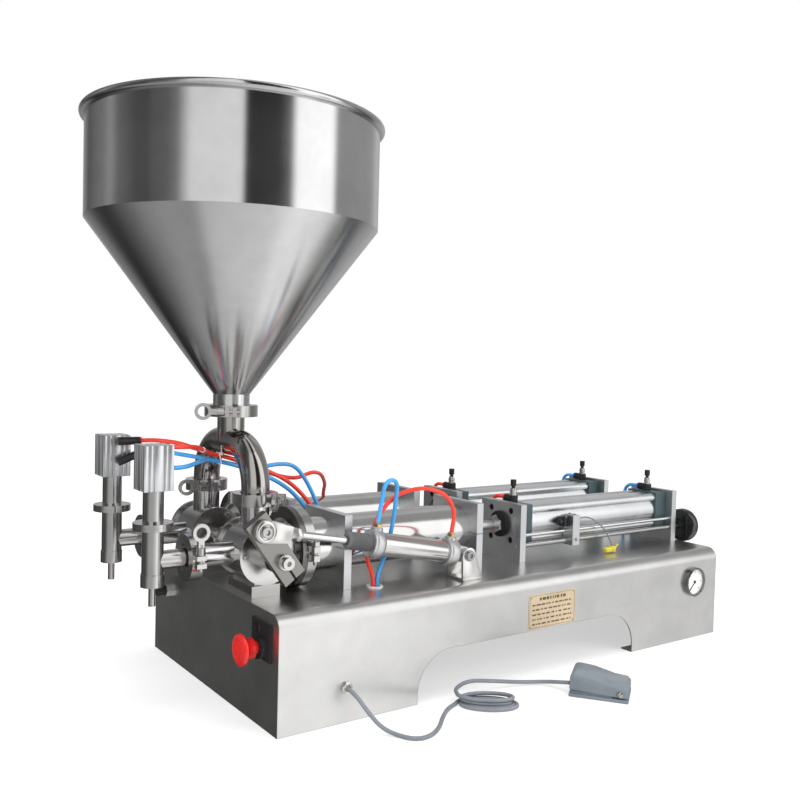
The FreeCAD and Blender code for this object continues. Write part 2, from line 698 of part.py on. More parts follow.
lead_points = [
    (carriage_x + carriage_len, adj_y - 4, 211), (carriage_x + carriage_len + 26, adj_y - 6, 209),
    (carriage_x + carriage_len + 56, adj_y - 14, 184), (carriage_x + carriage_len + 76, adj_y - 20, 163),
]
plug = Part.makeBox(
    30, 11, 9, Vector(float(carriage_x + carriage_len) + 52, float(adj_y) - 27, 151.5)
)
lead = hose_shape(lead_points, 1.5, 0.4).fuse(plug)
node("stroke_sensor", group(sensor, coded(lead)))

# ---------------------------------------------------------------- filling nozzles
nx = D["nozzle_x"]
nozzle_rad, collar_rad, tip_rad = D["nozzle_rad"], D["collar_rad"], D["tip_rad"]
TIP_TOP, COLLAR_TOP, JOINT = 174, 190, 250.5
block_low, block_top, side_len = D["block_low"], D["block_top"], D["block_side"]
pipe_end = outlet - D["seal_thick"] / 2
FITTING_Z = (345, 318)
bodies, bonnets, blocks = [], [], []
for name, y in lane_y.items():
    lip_x = pipe_end - D["ferrule_thick"]
    body = fuse(
        rod(nozzle_rad, JOINT - TIP_TOP, (nx, y, TIP_TOP)),
        rod(collar_rad, COLLAR_TOP - TIP_TOP, (nx, y, TIP_TOP)),
        rod(tip_rad, TIP_TOP - D["tip_end"] + 2, (nx, y, D["tip_end"])),
        rod(D["nozzle_flange"], 4.5, (nx, y, JOINT - 4.5)),
        rod(12, pipe_end - nx, (nx, y, axis), "x"),
        rod(D["small_ferrule"], D["ferrule_thick"], (lip_x, y, axis), "x"),
    )
    ways = [
        rod(10.5, 80, (nx, y, TIP_TOP + 4)),
        rod(3, 40, (nx, y, D["tip_end"] - 5)),
        rod(9, pipe_end - nx + 5, (nx, y, axis), "x"),
    ]
    bodies.append(cut(body, *ways))
    sleeve = fuse(
        rod(D["nozzle_flange"], 4.5, (nx, y, JOINT)),
        rod(D["bonnet_rad"], block_low - JOINT, (nx, y, JOINT)),
    )
    bonnets.append(cut(
        sleeve,
        rod(10, block_low - JOINT, (nx, y, JOINT + 8)),
        rod(4 + D["run_fit"], 20, (nx, y, JOINT - 5)),
    ))
    block = slab((side_len, side_len, block_top - block_low), (nx, y, block_low))
    inward = side_len / 2 if name == "near" else -side_len / 2
    start = y + inward - (6 if name == "near" else 0)
    taps = [rod(4.6, 6, (nx + 4, start, z), "y") for z in FITTING_Z]
    blocks.append(cut(
        block,
        rod(13, 38, (nx, y, block_low + 12)),
        rod(4 + D["run_fit"], 20, (nx, y, block_low - 5)),
        *taps,
    ))
node("nozzle_bodies", group(*bodies))
node("nozzle_bonnets", group(*bonnets))
node("nozzle_cylinders", group(*blocks))
for name, y in lane_y.items():
    plunger = fuse(
        rod(4, block_low + 20 - TIP_TOP - 8, (nx, y, TIP_TOP + 8)),
        cone(3.5, 9, 8, (nx, y, TIP_TOP + 4.2)),
        rod(13 - D["run_fit"], 12, (nx, y, block_low + 14)),
    )
    node(f"nozzle_plunger_{name}", plunger)

# ---------------------------------------------------------------- clamps and seals
def pipe_clamp(ferrule_rad, lip_rad, at, turn):
    """Two-lip ring around a pair of ferrules, with hinge, swing bolt and looped nut, on +Z."""
    grip = 2 * D["ferrule_thick"] + D["seal_thick"] + 1
    thick = grip + 5
    shell = ferrule_rad + 0.4
    ring = cut(
        rod(ferrule_rad + 5, thick, (0, 0, -thick / 2)),
        rod(shell, grip, (0, 0, -grip / 2)),
        rod(lip_rad, thick + 2, (0, 0, -thick / 2 - 1)),
    )
    reach_x = ferrule_rad + 4
    hinge = rod(5, thick, (reach_x + 3, 0, -thick / 2))
    lugs = [box((13, 6, thick - 3), (-reach_x - 11, y, -thick / 2 + 1.5)) for y in (-8, 2)]
    bolt_shape = rod(3, 34, (-reach_x - 6, -12, 0), "y")
    nut = rod(6, 9, (-reach_x - 6, 9, 0), "y")
    stem = box((5, 12, 8), (-reach_x - 8.5, 16, -4))
    loop = cut(
        rod(11.5, 5, (-reach_x - 8.5, 37, 0), "x"), rod(7, 9, (-reach_x - 10.5, 37, 0), "x")
    )
    return place(fuse(ring, hinge, *lugs, bolt_shape, nut, stem, loop), at, turn)


small, big = D["small_ferrule"], D["big_ferrule"]
inlet = D["inlet_joint"]
FACE_FRONT = Rotation(Vector(0, 0, 1), 65)
BOLT_OUTWARD = Rotation(Vector(1, 1, 1), 120)
INLET_TURNS = (Rotation(Vector(0, 0, 1), 140), Rotation(Vector(0, 0, 1), 80))
clamps = [pipe_clamp(big, neck + 1.5, (vx, 0, joint), FACE_FRONT)]
seals = [tube(neck + 2, neck - wall, D["seal_thick"], (vx, 0, joint - D["seal_thick"] / 2))]
for y, inlet_turn in zip(lane_y.values(), INLET_TURNS):
    clamps.append(pipe_clamp(small, pipe + 1.5, (vx, y, inlet), inlet_turn))
    clamps.append(pipe_clamp(small, 17, (outlet, y, axis), BOLT_OUTWARD))
    low = inlet - D["seal_thick"] / 2
    seals.append(tube(pipe + 3, pipe - D["pipe_wall"], D["seal_thick"], (vx, y, low)))
    seals.append(tube(pipe, 12, D["seal_thick"], (pipe_end, y, axis), "x"))
for y in lane_y.values():
    ring = cut(
        rod(55.7, 13.2, (-351.7, y, axis), "x"),
        rod(50.4, 9.4, (-352, y, axis), "x"),
        rod(outer_rad + 0.6, 30, (-360, y, axis), "x"),
    )
    lugs = [box((9, 13, 8), (-349.5, y - 66.5, axis + z)) for z in (-10, 2)]
    clamp_bolt = rod(3, 34, (-345, y - 61, axis - 15))
    nut = hexagon(11, 6, (-345, y - 61, axis + 10.5))
    clamps.append(fuse(ring, *lugs, clamp_bolt, nut))
node("pipe_clamps", group(*clamps))
node("seals", group(*seals, *bushes))

# ---------------------------------------------------------------- screws
screws = []
for y in lane_y.values():
    for u, v in BOLTS:
        by, bz = y + u * bolt, axis + v * bolt
        for head_x, shank_x in ((front_x + 0.2, front_x + 6), (rear_x + 5.8, rear_x - 10)):
            screws.append(fuse(
                rod(5, 6, (head_x, by, bz), "x"), rod(3, 16, (shank_x, by, bz), "x")
            ))
for side in SIDES.values():
    for face in (-1, 1):
        for u, v in SCREW_RING:
            seat = side * lane + face * (half + D["cap_thick"])
            head_y = seat if face > 0 else seat - 2.5
            shank_y = seat - 12 if face > 0 else seat - 1
            screws.append(fuse(
                rod(4, 2.5, (vx + u, head_y, axis + v), "y"),
                rod(2, 13, (vx + u, shank_y, axis + v), "y"),
            ))
node("socket_screws", group(*screws))

# ---------------------------------------------------------------- air fittings and their knobs
fittings = []
STUB, ARM_TILT = 20, 22
for x in VALVE_SPOTS:
    for y in lane_y.values():
        top = axis + cap_half
        body = fuse(
            rod(5, 20, (x, y, top - 7)), rod(8, 12, (x, y, top)), rod(6.3, 23.5, (x, y, top)),
            rod(6, STUB, (x, y, top + 6.5), "y"),
        )
        fittings.append(cut(
            body, rod(3 + D["run_fit"], 12, (x, y, top + 13)),
            rod(3.05, 10, (x, y + STUB - 8, top + 6.5), "y"),
        ))
for name, y in lane_y.items():
    out = 1 if name == "near" else -1
    face_y = y + out * side_len / 2
    for z in FITTING_Z:
        stem_low = face_y - 5 if name == "near" else face_y - 9
        stem = rod(4.5, 14, (nx + 4, stem_low, z), "y")
        tilt = ARM_TILT if (name, z) == ("far", 318) else 0
        arm_body = place(
            cut(rod(5.5, 32, (-6, 0, 0), "x"), rod(3.05, 12, (16, 0, 0), "x")),
            (nx + 4, face_y + out * 9, z), Rotation(Vector(0, 1, 0), -tilt),
        )
        fittings.append(fuse(stem, arm_body))
inlet_x = -length / 2
air_elbow = fuse(
    rod(6.5, 22, (inlet_x - 12, 148, 105), "x"), hexagon(17, 8, (inlet_x - 8, 148, 105), "x"),
    rod(7, 12, (inlet_x - 22, 148, 105), "x"), rod(6.5, 24, (inlet_x - 16, 148, 105)),
)
fittings.append(cut(air_elbow, rod(4.05, 16, (inlet_x - 16, 148, 114))))
node("air_fittings", group(*fittings))
for x, end_name in zip(VALVE_SPOTS, ("front", "rear")):
    for name, y in lane_y.items():
        top = axis + cap_half
        knob = fuse(rod(3, 17, (x, y, top + 13.5)), rod(4.8, 10, (x, y, top + 27.5)))
        node(f"flow_knob_{end_name}_{name}", knob)

# ---------------------------------------------------------------- air hoses
hose_rad = D["hose_rad"]
sy = STUB - 8
red_hoses, blue_hoses = [], []
for x, colour in zip(VALVE_SPOTS, (red_hoses, blue_hoses)):
    for y in lane_y.values():
        z = axis + cap_half + 6.5
        points = [(x, y + sy, z), (x, y + 52, z), (x, y + 52, 138)]
        colour.append(coded(hose_shape(points, hose_rad)))

# The four nozzle hoses run in one bundle under the crown pipe, then drop to their wells.
NOZZLE_ROUTES = {
    ("near", "red"): [
        (-440, -4, 331), (-404, -4, 321.5), (-358, -7, 306), (-312, -8, 284),
        (-276, -9, 248), (-256, -12, 202), (-248, -13.5, 160), (-248, -13.5, 138),
    ],
    ("near", "blue"): [
        (-440, -4, 322), (-404, -4, 313.5), (-358, -7, 298.5), (-316, -8, 276),
        (-282, -8, 242), (-262, -9, 200), (-253, -8, 160), (-253, -8, 138),
    ],
    ("far", "blue"): [
        (-440, 4, 322), (-404, 4, 313.5), (-362, 3, 304), (-332, 2, 310), (-301, 2, 308),
        (-281, 0, 284), (-262, -3, 246), (-249, -5, 204), (-246, -5, 160), (-246, -5, 138),
    ],
    ("far", "red"): [
        (-440, 4, 331), (-404, 4, 321.5), (-362, 10, 307), (-324, 15, 291), (-288, 17, 284),
        (-256, 28, 292), (-225, 52, 285), (-198, 84, 264), (-178, 124, 244),
        (-170, 138, 200), (-170, 138, 138),
    ],
}
for (name, paint), tail in NOZZLE_ROUTES.items():
    inward = 1 if name == "near" else -1
    from_y = lane_y[name] + inward * (side_len / 2 + 9)
    z, mid_z = (345, 342) if paint == "red" else (318, 321)
    lead_in = [(nx + 22, from_y, z), (nx + 52, from_y, z), (nx + 78, from_y * 0.6, mid_z)]
    if (name, paint) == ("far", "blue"):
        lead_in = [
            (nx + 19.8, from_y, 324.4), (nx + 31.8, from_y, 329.2), (nx + 46.6, from_y, 335.2),
            (nx + 68, 38, 328),
        ]
    hose = coded(hose_shape([*lead_in, *tail], hose_rad))
    (red_hoses if paint == "red" else blue_hoses).append(hose)
node("red_hoses", group(*red_hoses))
node("blue_hoses", group(*blue_hoses))

act_blue = [
    (-259, -161, 243.8), (-248.2, -161, 300.6), (-221, -152, 299), (-219, -141, 240),
    (-229, -137, 192), (-244.8, -141, 165), (-244.8, -141, 138),
]
act_red = [
    (-130.3, -161, 219.3), (-124.6, -161, 249.5), (-140, -158, 275), (-178, -151, 287),
    (-219, -139, 275), (-242, -134, 246), (-255, -133, 214), (-258, -134, 188),
    (-251.2, -141, 165), (-251.2, -141, 138),
]
node("lever_hose_blue", coded(hose_shape(act_blue, hose_rad)))
node("lever_hose_red", coded(hose_shape(act_red, hose_rad)))
grommets = []
for x, y, rad in HOSE_WELLS:
    collar_shape = fuse(rod(rad, 6, (x, y, height - 4)), rod(rad + 2.5, 2, (x, y, height)))
    bore = 3.4 if rad == 9 and x != -248 else rad - 1.5
    grommets.append(cut(collar_shape, rod(bore, 12, (x, y, height - 6))))
node("hose_grommets", group(*grommets))

# ---------------------------------------------------------------- controls on the cabinet
wall_y = -width / 2
gx, gz, gauge_rad = D["gauge_x"], D["gauge_z"], D["gauge_rad"]
case = fuse(
    rod(gauge_rad, 8, (gx, wall_y - 8, gz), "y"),
    rod(20, 32, (gx, wall_y, gz), "y"),
    rod(6, 12, (gx, wall_y + 32, gz), "y"),
)
node("gauge_case", cut(
    case, rod(22, 6, (gx, wall_y - 9, gz), "y"), rod(1.06, 6, (gx, wall_y - 5, gz), "y")
))
pointer = fuse(
    rod(2.6, 1, (gx, wall_y - 4.6, gz), "y"),
    rod(1, 4.6, (gx, wall_y - 4.6, gz), "y"),
    place(box((20, 0.8, 1.6), (-5, -0.4, -0.8)), (gx, wall_y - 4.1, gz),
          Rotation(Vector(0, 1, 0), -225)),
)
node("gauge_pointer", pointer)

wall_x = -length / 2
stop_y, stop_z = D["stop_y"], D["stop_z"]
legend = box((3, 50, 48), (wall_x - 3, -191, 88))
legend_plate = cut(
    legend, rod(11.1, 10, (wall_x - 6, stop_y, stop_z), "x"),
    box((10, 17, 9), (wall_x - 6, -164.5, 120.5)),
)
rocker = cut(
    rod(8.2, 8.4, (wall_x + 2, -156, 120.8)), box((8, 12, 12), (wall_x - 12, -156, 118)),
)
node("rocker_switch", rocker)
stop_collar = fuse(
    rod(14.5, 6, (wall_x - 9, stop_y, stop_z), "x"),
    rod(11, 36, (wall_x - 3, stop_y, stop_z), "x"),
)
node("switch_plate", group(legend_plate, cut(
    stop_collar, rod(8 + D["run_fit"], 60, (wall_x - 12, stop_y, stop_z), "x")
)))
mushroom = fuse(
    rod(20, 5, (wall_x - 34, stop_y, stop_z), "x"),
    cone(20, 13, 5, (wall_x - 29, stop_y, stop_z), "x"),
    rod(13, 10, (wall_x - 24, stop_y, stop_z), "x"),
    rod(8, 36, (wall_x - 14, stop_y, stop_z), "x"),
)
node("stop_button", mushroom)
node("rating_plate", box((97, 0.6, 51.5), (-18.5, wall_y - 0.6, 71)))
manifold_block = box((130, 38, 24), (-65, -wall_y - skin - 38, 72))
coils = [box((20, 34, 34), (x, -wall_y - skin - 36, 96)) for x in (-58, -33, -8, 17)]
node("valve_terminal", fuse(manifold_block, *coils))

# ---------------------------------------------------------------- foot pedal and its cord
gland_x, gland_z, cord_rad = D["gland_x"], D["gland_z"], D["cord_rad"]
gland = fuse(
    rod(6, 12, (gland_x, wall_y, gland_z), "y"),
    rod(8, 3, (gland_x, wall_y - 3, gland_z), "y"),
    hexagon(17, 4, (gland_x, wall_y + skin, gland_z), "y"),
)
node("cord_gland", cut(gland, rod(2.2, 40, (gland_x, wall_y - 8, gland_z), "y")))
LYING = 2.85
cord_out = [
    (-334, -212, 45.5), (-333, -229, 43), (-326, -246, 26), (-316, -262, 9),
    (-305, -279, LYING), (-293, -303, LYING), (-272, -306, LYING), (-247, -292, LYING),
    (-220, -265, LYING), (-197, -246.5, LYING), (-178, -237, LYING), (-165, -232, LYING),
]
COIL = (-140, -262)
COIL_TURN = Rotation(Vector(0, 0, 1), -35.35)
cord_on = [
    (-172, -237, 13.8), (-165, -222, 15.5), (-147, -215.5, 18), (-128, -214.5, 18), (-106, -217, 14.5),
    (-80, -221, 10), (-50, -228, 5.5), (-21, -240, 4.5), (-9.5, -259, 8), (-6.8, -284.2, 14),
]
node("pedal_cord_start", coded(hose_shape(cord_out, cord_rad)))
node("pedal_cord_end", coded(hose_shape(cord_on, cord_rad)))
node("pedal_cord_coil", place(cut(
    oval(46, 30, 16.5), oval(31, 12, 20, -1),
), (*COIL, 0.1), COIL_TURN))

heading = Rotation(Vector(0, 0, 1), -53.4)
corner = (-20, -295, 0)
pedal_len, pedal_wid = D["pedal_len"], D["pedal_wid"]
tray = fuse(
    box((pedal_len, pedal_wid, 5), (0, 0, 0)),
    box((6, pedal_wid - 6, 14), (3, 3, 4)),
    box((8, 14, 12), (20, pedal_wid / 2 - 7, 4)),
)
axle_x, axle_z = pedal_len - 12, 12
ears = [box((8, 4, 10.3), (axle_x - 4, y, 4)) for y in (6, pedal_wid - 10)]
axle = rod(2, pedal_wid + 4, (axle_x, -2, axle_z), "y")
rivets = [rod(4, 1.5, (axle_x, y, axle_z), "y") for y in (-2.2, pedal_wid + 0.7)]
cord_port = rod(2.4, 12, (-1, 17, 14), "x")
pedal_tray = cut(fuse(tray, *ears, axle, *rivets), cord_port)
node("pedal_base", place(pedal_tray, corner, heading))
side = [
    (0.5, 10), (pedal_len - 0.5, 6.2), (pedal_len, D["pedal_low"] - 6), (pedal_len - 4, D["pedal_low"]),
    (28, D["pedal_high"] - 2), (5, D["pedal_high"]), (0, D["pedal_high"] - 6),
]
shell = outline_body([side], pedal_wid, (0, pedal_wid, 0), TO_XZ)
under = [
    (-6, 4), (pedal_len - 3, 4), (pedal_len - 3, D["pedal_low"] - 8),
    (28, D["pedal_high"] - 6), (9.6, D["pedal_high"] - 5), (9.6, 23), (-6, 23),
]
room = outline_body([under], pedal_wid - 4, (0, pedal_wid - 2, 0), TO_XZ)
treadle = cut(shell, room, rod(2.06, pedal_wid + 4, (axle_x, -2, axle_z), "y"))
node("pedal_treadle", place(treadle, corner, heading))

# ---------------------------------------------------------------- build, test and write
doc.recompute()
bad = [
    thing.Label for thing in doc.Objects
    if "Invalid" in thing.State or "Error" in thing.State
]
for thing in NODES:
    shape = thing.Shape
    if shape.isNull() or not shape.isValid():
        bad.append(thing.Label)
        continue
    shape.exportStep(f"parts/{thing.Label}.step")
print("nodes", len(NODES), "faulty", bad)
print("cord radii", float(cord_rad), "hose radii", float(hose_rad))
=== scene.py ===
"""Looks for a twin-lane piston liquid filler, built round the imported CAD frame. Metres."""
import itertools
import json
import math
import random

import bmesh
import bpy
from mathutils import Matrix, Vector


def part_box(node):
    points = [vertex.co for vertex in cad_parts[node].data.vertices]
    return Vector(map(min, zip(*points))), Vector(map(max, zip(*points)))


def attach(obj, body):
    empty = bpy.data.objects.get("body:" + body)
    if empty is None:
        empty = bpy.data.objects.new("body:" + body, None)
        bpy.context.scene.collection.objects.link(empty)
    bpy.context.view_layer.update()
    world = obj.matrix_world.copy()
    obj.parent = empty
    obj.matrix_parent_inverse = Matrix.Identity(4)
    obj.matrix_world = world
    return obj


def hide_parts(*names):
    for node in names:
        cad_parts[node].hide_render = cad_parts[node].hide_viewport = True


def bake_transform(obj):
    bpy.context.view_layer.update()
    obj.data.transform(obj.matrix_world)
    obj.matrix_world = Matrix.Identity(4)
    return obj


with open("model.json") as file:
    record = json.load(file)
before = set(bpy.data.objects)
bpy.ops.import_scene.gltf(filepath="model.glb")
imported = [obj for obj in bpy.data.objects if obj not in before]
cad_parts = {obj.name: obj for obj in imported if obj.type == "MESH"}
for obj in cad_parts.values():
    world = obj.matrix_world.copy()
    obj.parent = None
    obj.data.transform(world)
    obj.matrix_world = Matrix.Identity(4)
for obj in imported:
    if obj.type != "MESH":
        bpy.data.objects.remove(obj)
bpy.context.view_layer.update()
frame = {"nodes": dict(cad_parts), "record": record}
random.seed(7)
ROOT = "frame"
MM = 0.001
LANES = (-0.081, 0.081)
AXIS = 0.206
CORNERS = ((-1, -1), (-1, 1), (1, -1), (1, 1))


def span(node):
    """A node's low corner, high corner and middle."""
    low, high = (Vector(v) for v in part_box(node))
    return low, high, (low + high) / 2


# ------------------------------------------------------------------ camera
CAMERA_AT = (-0.939, -1.164, 0.459)
CAMERA_TURN = (54.65, 2.25, 1.48)
CAMERA_LENS = 40.32


def aim_camera():
    yaw, pitch, roll = (math.radians(v) for v in CAMERA_TURN)
    ahead = Vector((math.cos(yaw) * math.cos(pitch), math.sin(yaw) * math.cos(pitch), -math.sin(pitch)))
    side = Vector((math.sin(yaw), -math.cos(yaw), 0))
    up = side.cross(ahead)
    right = math.cos(roll) * side + math.sin(roll) * up
    top = -math.sin(roll) * side + math.cos(roll) * up
    data = bpy.data.cameras.new("camera")
    data.sensor_width = 36
    data.lens = CAMERA_LENS
    data.clip_start, data.clip_end = 0.05, 60
    camera = bpy.data.objects.new("camera", data)
    bpy.context.collection.objects.link(camera)
    turn = Matrix((right, top, -ahead)).transposed().to_4x4()
    camera.matrix_world = Matrix.Translation(CAMERA_AT) @ turn
    bpy.context.scene.camera = camera


aim_camera()


# ------------------------------------------------------------------ node helpers
def link(tree, a, b):
    tree.links.new(a, b)


def new_material(name):
    made = bpy.data.materials.new(name)
    made.use_nodes = True
    tree = made.node_tree
    shader = tree.nodes["Principled BSDF"]
    return made, tree, shader


def grain(tree, scale, detail=3.0, rough=0.55, stretch=(1, 1, 1)):
    """Noise in the row frame's own metres, stretched by axis."""
    coords = tree.nodes.new("ShaderNodeTexCoord")
    mapping = tree.nodes.new("ShaderNodeMapping")
    mapping.inputs["Scale"].default_value = stretch
    noise = tree.nodes.new("ShaderNodeTexNoise")
    noise.inputs["Scale"].default_value = scale
    noise.inputs["Detail"].default_value = detail
    noise.inputs["Roughness"].default_value = rough
    link(tree, coords.outputs["Object"], mapping.inputs["Vector"])
    link(tree, mapping.outputs["Vector"], noise.inputs["Vector"])
    return noise.outputs["Fac"]


def ramp(tree, factor, stops):
    made = tree.nodes.new("ShaderNodeValToRGB")
    marks = made.color_ramp.elements
    while len(marks) < len(stops):
        marks.new(0.5)
    for mark, (place, colour) in zip(marks, stops):
        mark.position = place
        mark.color = (*colour, 1) if len(colour) == 3 else colour
    link(tree, factor, made.inputs["Fac"])
    return made.outputs["Color"]


def grey_ramp(tree, factor, stops):
    return ramp(tree, factor, [(place, (value,) * 3) for place, value in stops])


def shade(colour, gain):
    return tuple(min(1.0, c * gain) for c in colour)


def bump(tree, shader, height, strength, distance, soften=0.0):
    made = tree.nodes.new("ShaderNodeBump")
    made.inputs["Strength"].default_value = strength
    made.inputs["Distance"].default_value = distance
    link(tree, height, made.inputs["Height"])
    if soften:
        rounded = tree.nodes.new("ShaderNodeBevel")
        rounded.samples = 4
        rounded.inputs["Radius"].default_value = soften
        link(tree, rounded.outputs["Normal"], made.inputs["Normal"])
    link(tree, made.outputs["Normal"], shader.inputs["Normal"])


def roughness(tree, shader, factor, low, high):
    spread = tree.nodes.new("ShaderNodeMapRange")
    spread.inputs["From Min"].default_value = 0.3
    spread.inputs["From Max"].default_value = 0.7
    spread.inputs["To Min"].default_value = low
    spread.inputs["To Max"].default_value = high
    link(tree, factor, spread.inputs["Value"])
    link(tree, spread.outputs["Result"], shader.inputs["Roughness"])


def metal(name, colour, rough, lines=(1, 1, 1), scale=60, depth=0.15, edge=0.0006, patch=0.06, spun=0.0):
    """Bare metal: fine lines along one axis, cloudy roughness, rounded edges; spun about Z if asked."""
    made, tree, shader = new_material(name)
    shader.inputs["Metallic"].default_value = 1.0
    if spun:
        shader.inputs["Anisotropic"].default_value = spun
        round_about = tree.nodes.new("ShaderNodeTangent")
        round_about.direction_type = "RADIAL"
        round_about.axis = "Z"
        shader.inputs["Anisotropic Rotation"].default_value = 0.25
        link(tree, round_about.outputs["Tangent"], shader.inputs["Tangent"])
    fine = grain(tree, scale, 4, 0.6, lines)
    cloud = grain(tree, 14, 4, 0.6)
    tone = ramp(tree, cloud, [(0.3, shade(colour, 0.90)), (0.7, shade(colour, 1.06))])
    link(tree, tone, shader.inputs["Base Color"])
    roughness(tree, shader, cloud, rough - patch / 2, rough + patch / 2)
    bump(tree, shader, fine, depth, 0.0002, edge)
    return made


def plastic(name, colour, rough, scale=900, depth=0.15, edge=0.0005, coat=0.0):
    """Moulded plastic or rubber with a fine skin and a little dust in the tone."""
    made, tree, shader = new_material(name)
    skin = grain(tree, scale, 3)
    cloud = grain(tree, 25, 4)
    tone = ramp(tree, cloud, [(0.3, shade(colour, 0.85)), (0.7, shade(colour, 1.15))])
    link(tree, tone, shader.inputs["Base Color"])
    roughness(tree, shader, cloud, rough * 0.85, min(1.0, rough * 1.15))
    shader.inputs["Coat Weight"].default_value = coat
    shader.inputs["Coat Roughness"].default_value = 0.08
    bump(tree, shader, skin, depth, 0.0001, edge)
    return made


FINISHES = {
    "cabinet_steel": metal("cabinet_steel", (0.72, 0.715, 0.70), 0.30, (2, 90, 90), 10, 0.035, 0.0015, 0.03),
    "hopper_steel": metal("hopper_steel", (0.70, 0.70, 0.70), 0.17, (1, 1, 40), 14, 0.02, 0.0008, 0.02, 0.8),
    "polished_steel": metal("polished_steel", (0.70, 0.695, 0.69), 0.14, scale=90, depth=0.04),
    "cast_steel": metal("cast_steel", (0.56, 0.55, 0.535), 0.18, scale=260, depth=0.25),
    "turned_steel": metal("turned_steel", (0.62, 0.61, 0.60), 0.22, (60, 4, 60), 20, 0.12),
    "chromed_rod": metal("chromed_rod", (0.78, 0.78, 0.78), 0.07, scale=40, depth=0.01, patch=0.02),
    "plain_aluminium": metal("plain_aluminium", (0.72, 0.73, 0.74), 0.36, (60, 60, 4), 12, 0.16),
    "extruded_aluminium": metal("extruded_aluminium", (0.82, 0.83, 0.84), 0.34, (3, 60, 60), 10, 0.10),
    "cast_aluminium": metal("cast_aluminium", (0.82, 0.82, 0.82), 0.42, scale=420, depth=0.3),
    "dark_steel": metal("dark_steel", (0.20, 0.195, 0.19), 0.24, scale=120, depth=0.06),
    "bright_turned": metal("bright_turned", (0.80, 0.79, 0.77), 0.24, scale=200, depth=0.05),
    "lever_steel": metal("lever_steel", (0.30, 0.295, 0.28), 0.30, (60, 4, 60), 20, 0.06),
    "nose_grey": plastic("nose_grey", (0.17, 0.175, 0.18), 0.55, 500, 0.2),
    "barrel_steel": metal("barrel_steel", (0.72, 0.71, 0.70), 0.13, scale=90, depth=0.03),
    "pipe_steel": metal("pipe_steel", (0.50, 0.485, 0.465), 0.10, scale=90, depth=0.03),
    "nozzle_steel": metal("nozzle_steel", (0.56, 0.555, 0.545), 0.16, scale=120, depth=0.05),
    "dark_screw": metal("dark_screw", (0.10, 0.10, 0.10), 0.35, scale=200, depth=0.1),
    "tie_white": plastic("tie_white", (0.80, 0.78, 0.74), 0.4, 500, 0.05),
    "ring_red": plastic("ring_red", (0.62, 0.02, 0.03), 0.35, 500, 0.05),
    "ring_blue": plastic("ring_blue", (0.02, 0.16, 0.55), 0.35, 500, 0.05),
    "teal_cast": plastic("teal_cast", (0.055, 0.085, 0.095), 0.42, 700, 0.3),
    "brass": metal("brass", (0.72, 0.55, 0.28), 0.22, scale=120, depth=0.08),
    "nickel": metal("nickel", (0.74, 0.72, 0.68), 0.16, scale=120, depth=0.04),
    "black_rubber": plastic("black_rubber", (0.018, 0.018, 0.018), 0.6),
    "white_seal": plastic("white_seal", (0.80, 0.80, 0.78), 0.45),
    "black_plastic": plastic("black_plastic", (0.014, 0.014, 0.015), 0.38, 600, 0.2),
    "gloss_black": plastic("gloss_black", (0.010, 0.010, 0.011), 0.10, 200, 0.03, 0.001, 0.6),
    "red_hose": plastic("red_hose", (0.86, 0.045, 0.020), 0.28, 300, 0.03, 0, 0.3),
    "blue_hose": plastic("blue_hose", (0.055, 0.36, 0.78), 0.28, 300, 0.03, 0, 0.3),
    "grey_cord": plastic("grey_cord", (0.20, 0.215, 0.24), 0.42, 500, 0.12, 0),
    "pedal_blue": plastic("pedal_blue", (0.185, 0.215, 0.245), 0.36, 700, 0.12, 0.0012, 0.15),
    "stop_red": plastic("stop_red", (0.60, 0.012, 0.010), 0.22, 300, 0.04, 0.0008, 0.5),
    "gauge_chrome": metal("gauge_chrome", (0.26, 0.26, 0.26), 0.12, scale=50, depth=0.02, patch=0.03),
    "plate_tan": plastic("plate_tan", (0.55, 0.43, 0.28), 0.34, 900, 0.05, 0.0003),
    "black_needle": plastic("black_needle", (0.012, 0.012, 0.012), 0.4),
    "zinc_screw": metal("zinc_screw", (0.50, 0.50, 0.50), 0.25, scale=200, depth=0.1),
    "dial_white": plastic("dial_white", (0.85, 0.85, 0.83), 0.5, 500, 0.02, 0),
    "yellow_plastic": plastic("yellow_plastic", (0.72, 0.60, 0.05), 0.4, 500, 0.1),
    "ink": plastic("ink", (0.10, 0.075, 0.05), 0.5, 500, 0.02, 0),
}
# The record's material slot for each node.
node_slot = {part["node"]: part["material_slot"] for part in frame["record"]["subparts"]}
# Nodes that look different from the rest of their slot.
SPECIAL = {
    "hopper_bowl": "hopper_steel", "valve_lever": "lever_steel", "inlet_manifold": "pipe_steel",
    "nozzle_bodies": "nozzle_steel", "nozzle_bonnets": "nozzle_steel",
}
for node, thing in frame["nodes"].items():
    holder = bpy.data.objects[thing] if isinstance(thing, str) else thing
    finish = FINISHES[SPECIAL.get(node, node_slot[node])]
    if not holder.material_slots:
        holder.data.materials.append(finish)
    for place in holder.material_slots:
        place.material = finish


# ------------------------------------------------------------------ mesh helpers
def add(name, mesh, finish, body=ROOT, swaps=(), smooth=True):
    thing = bpy.data.objects.new(name, mesh)
    bpy.context.collection.objects.link(thing)
    thing.data.materials.append(FINISHES[finish])
    if smooth and hasattr(mesh, "polygons"):
        mesh.shade_smooth()
        mesh.set_sharp_from_angle(angle=math.radians(32))
    if body:
        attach(thing, body)
    if swaps:
        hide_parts(*swaps)
    return thing


def facing(axis):
    """The turn that sends +Z to the named direction."""
    return Vector(axis).to_track_quat("Z", "Y").to_matrix().to_4x4()


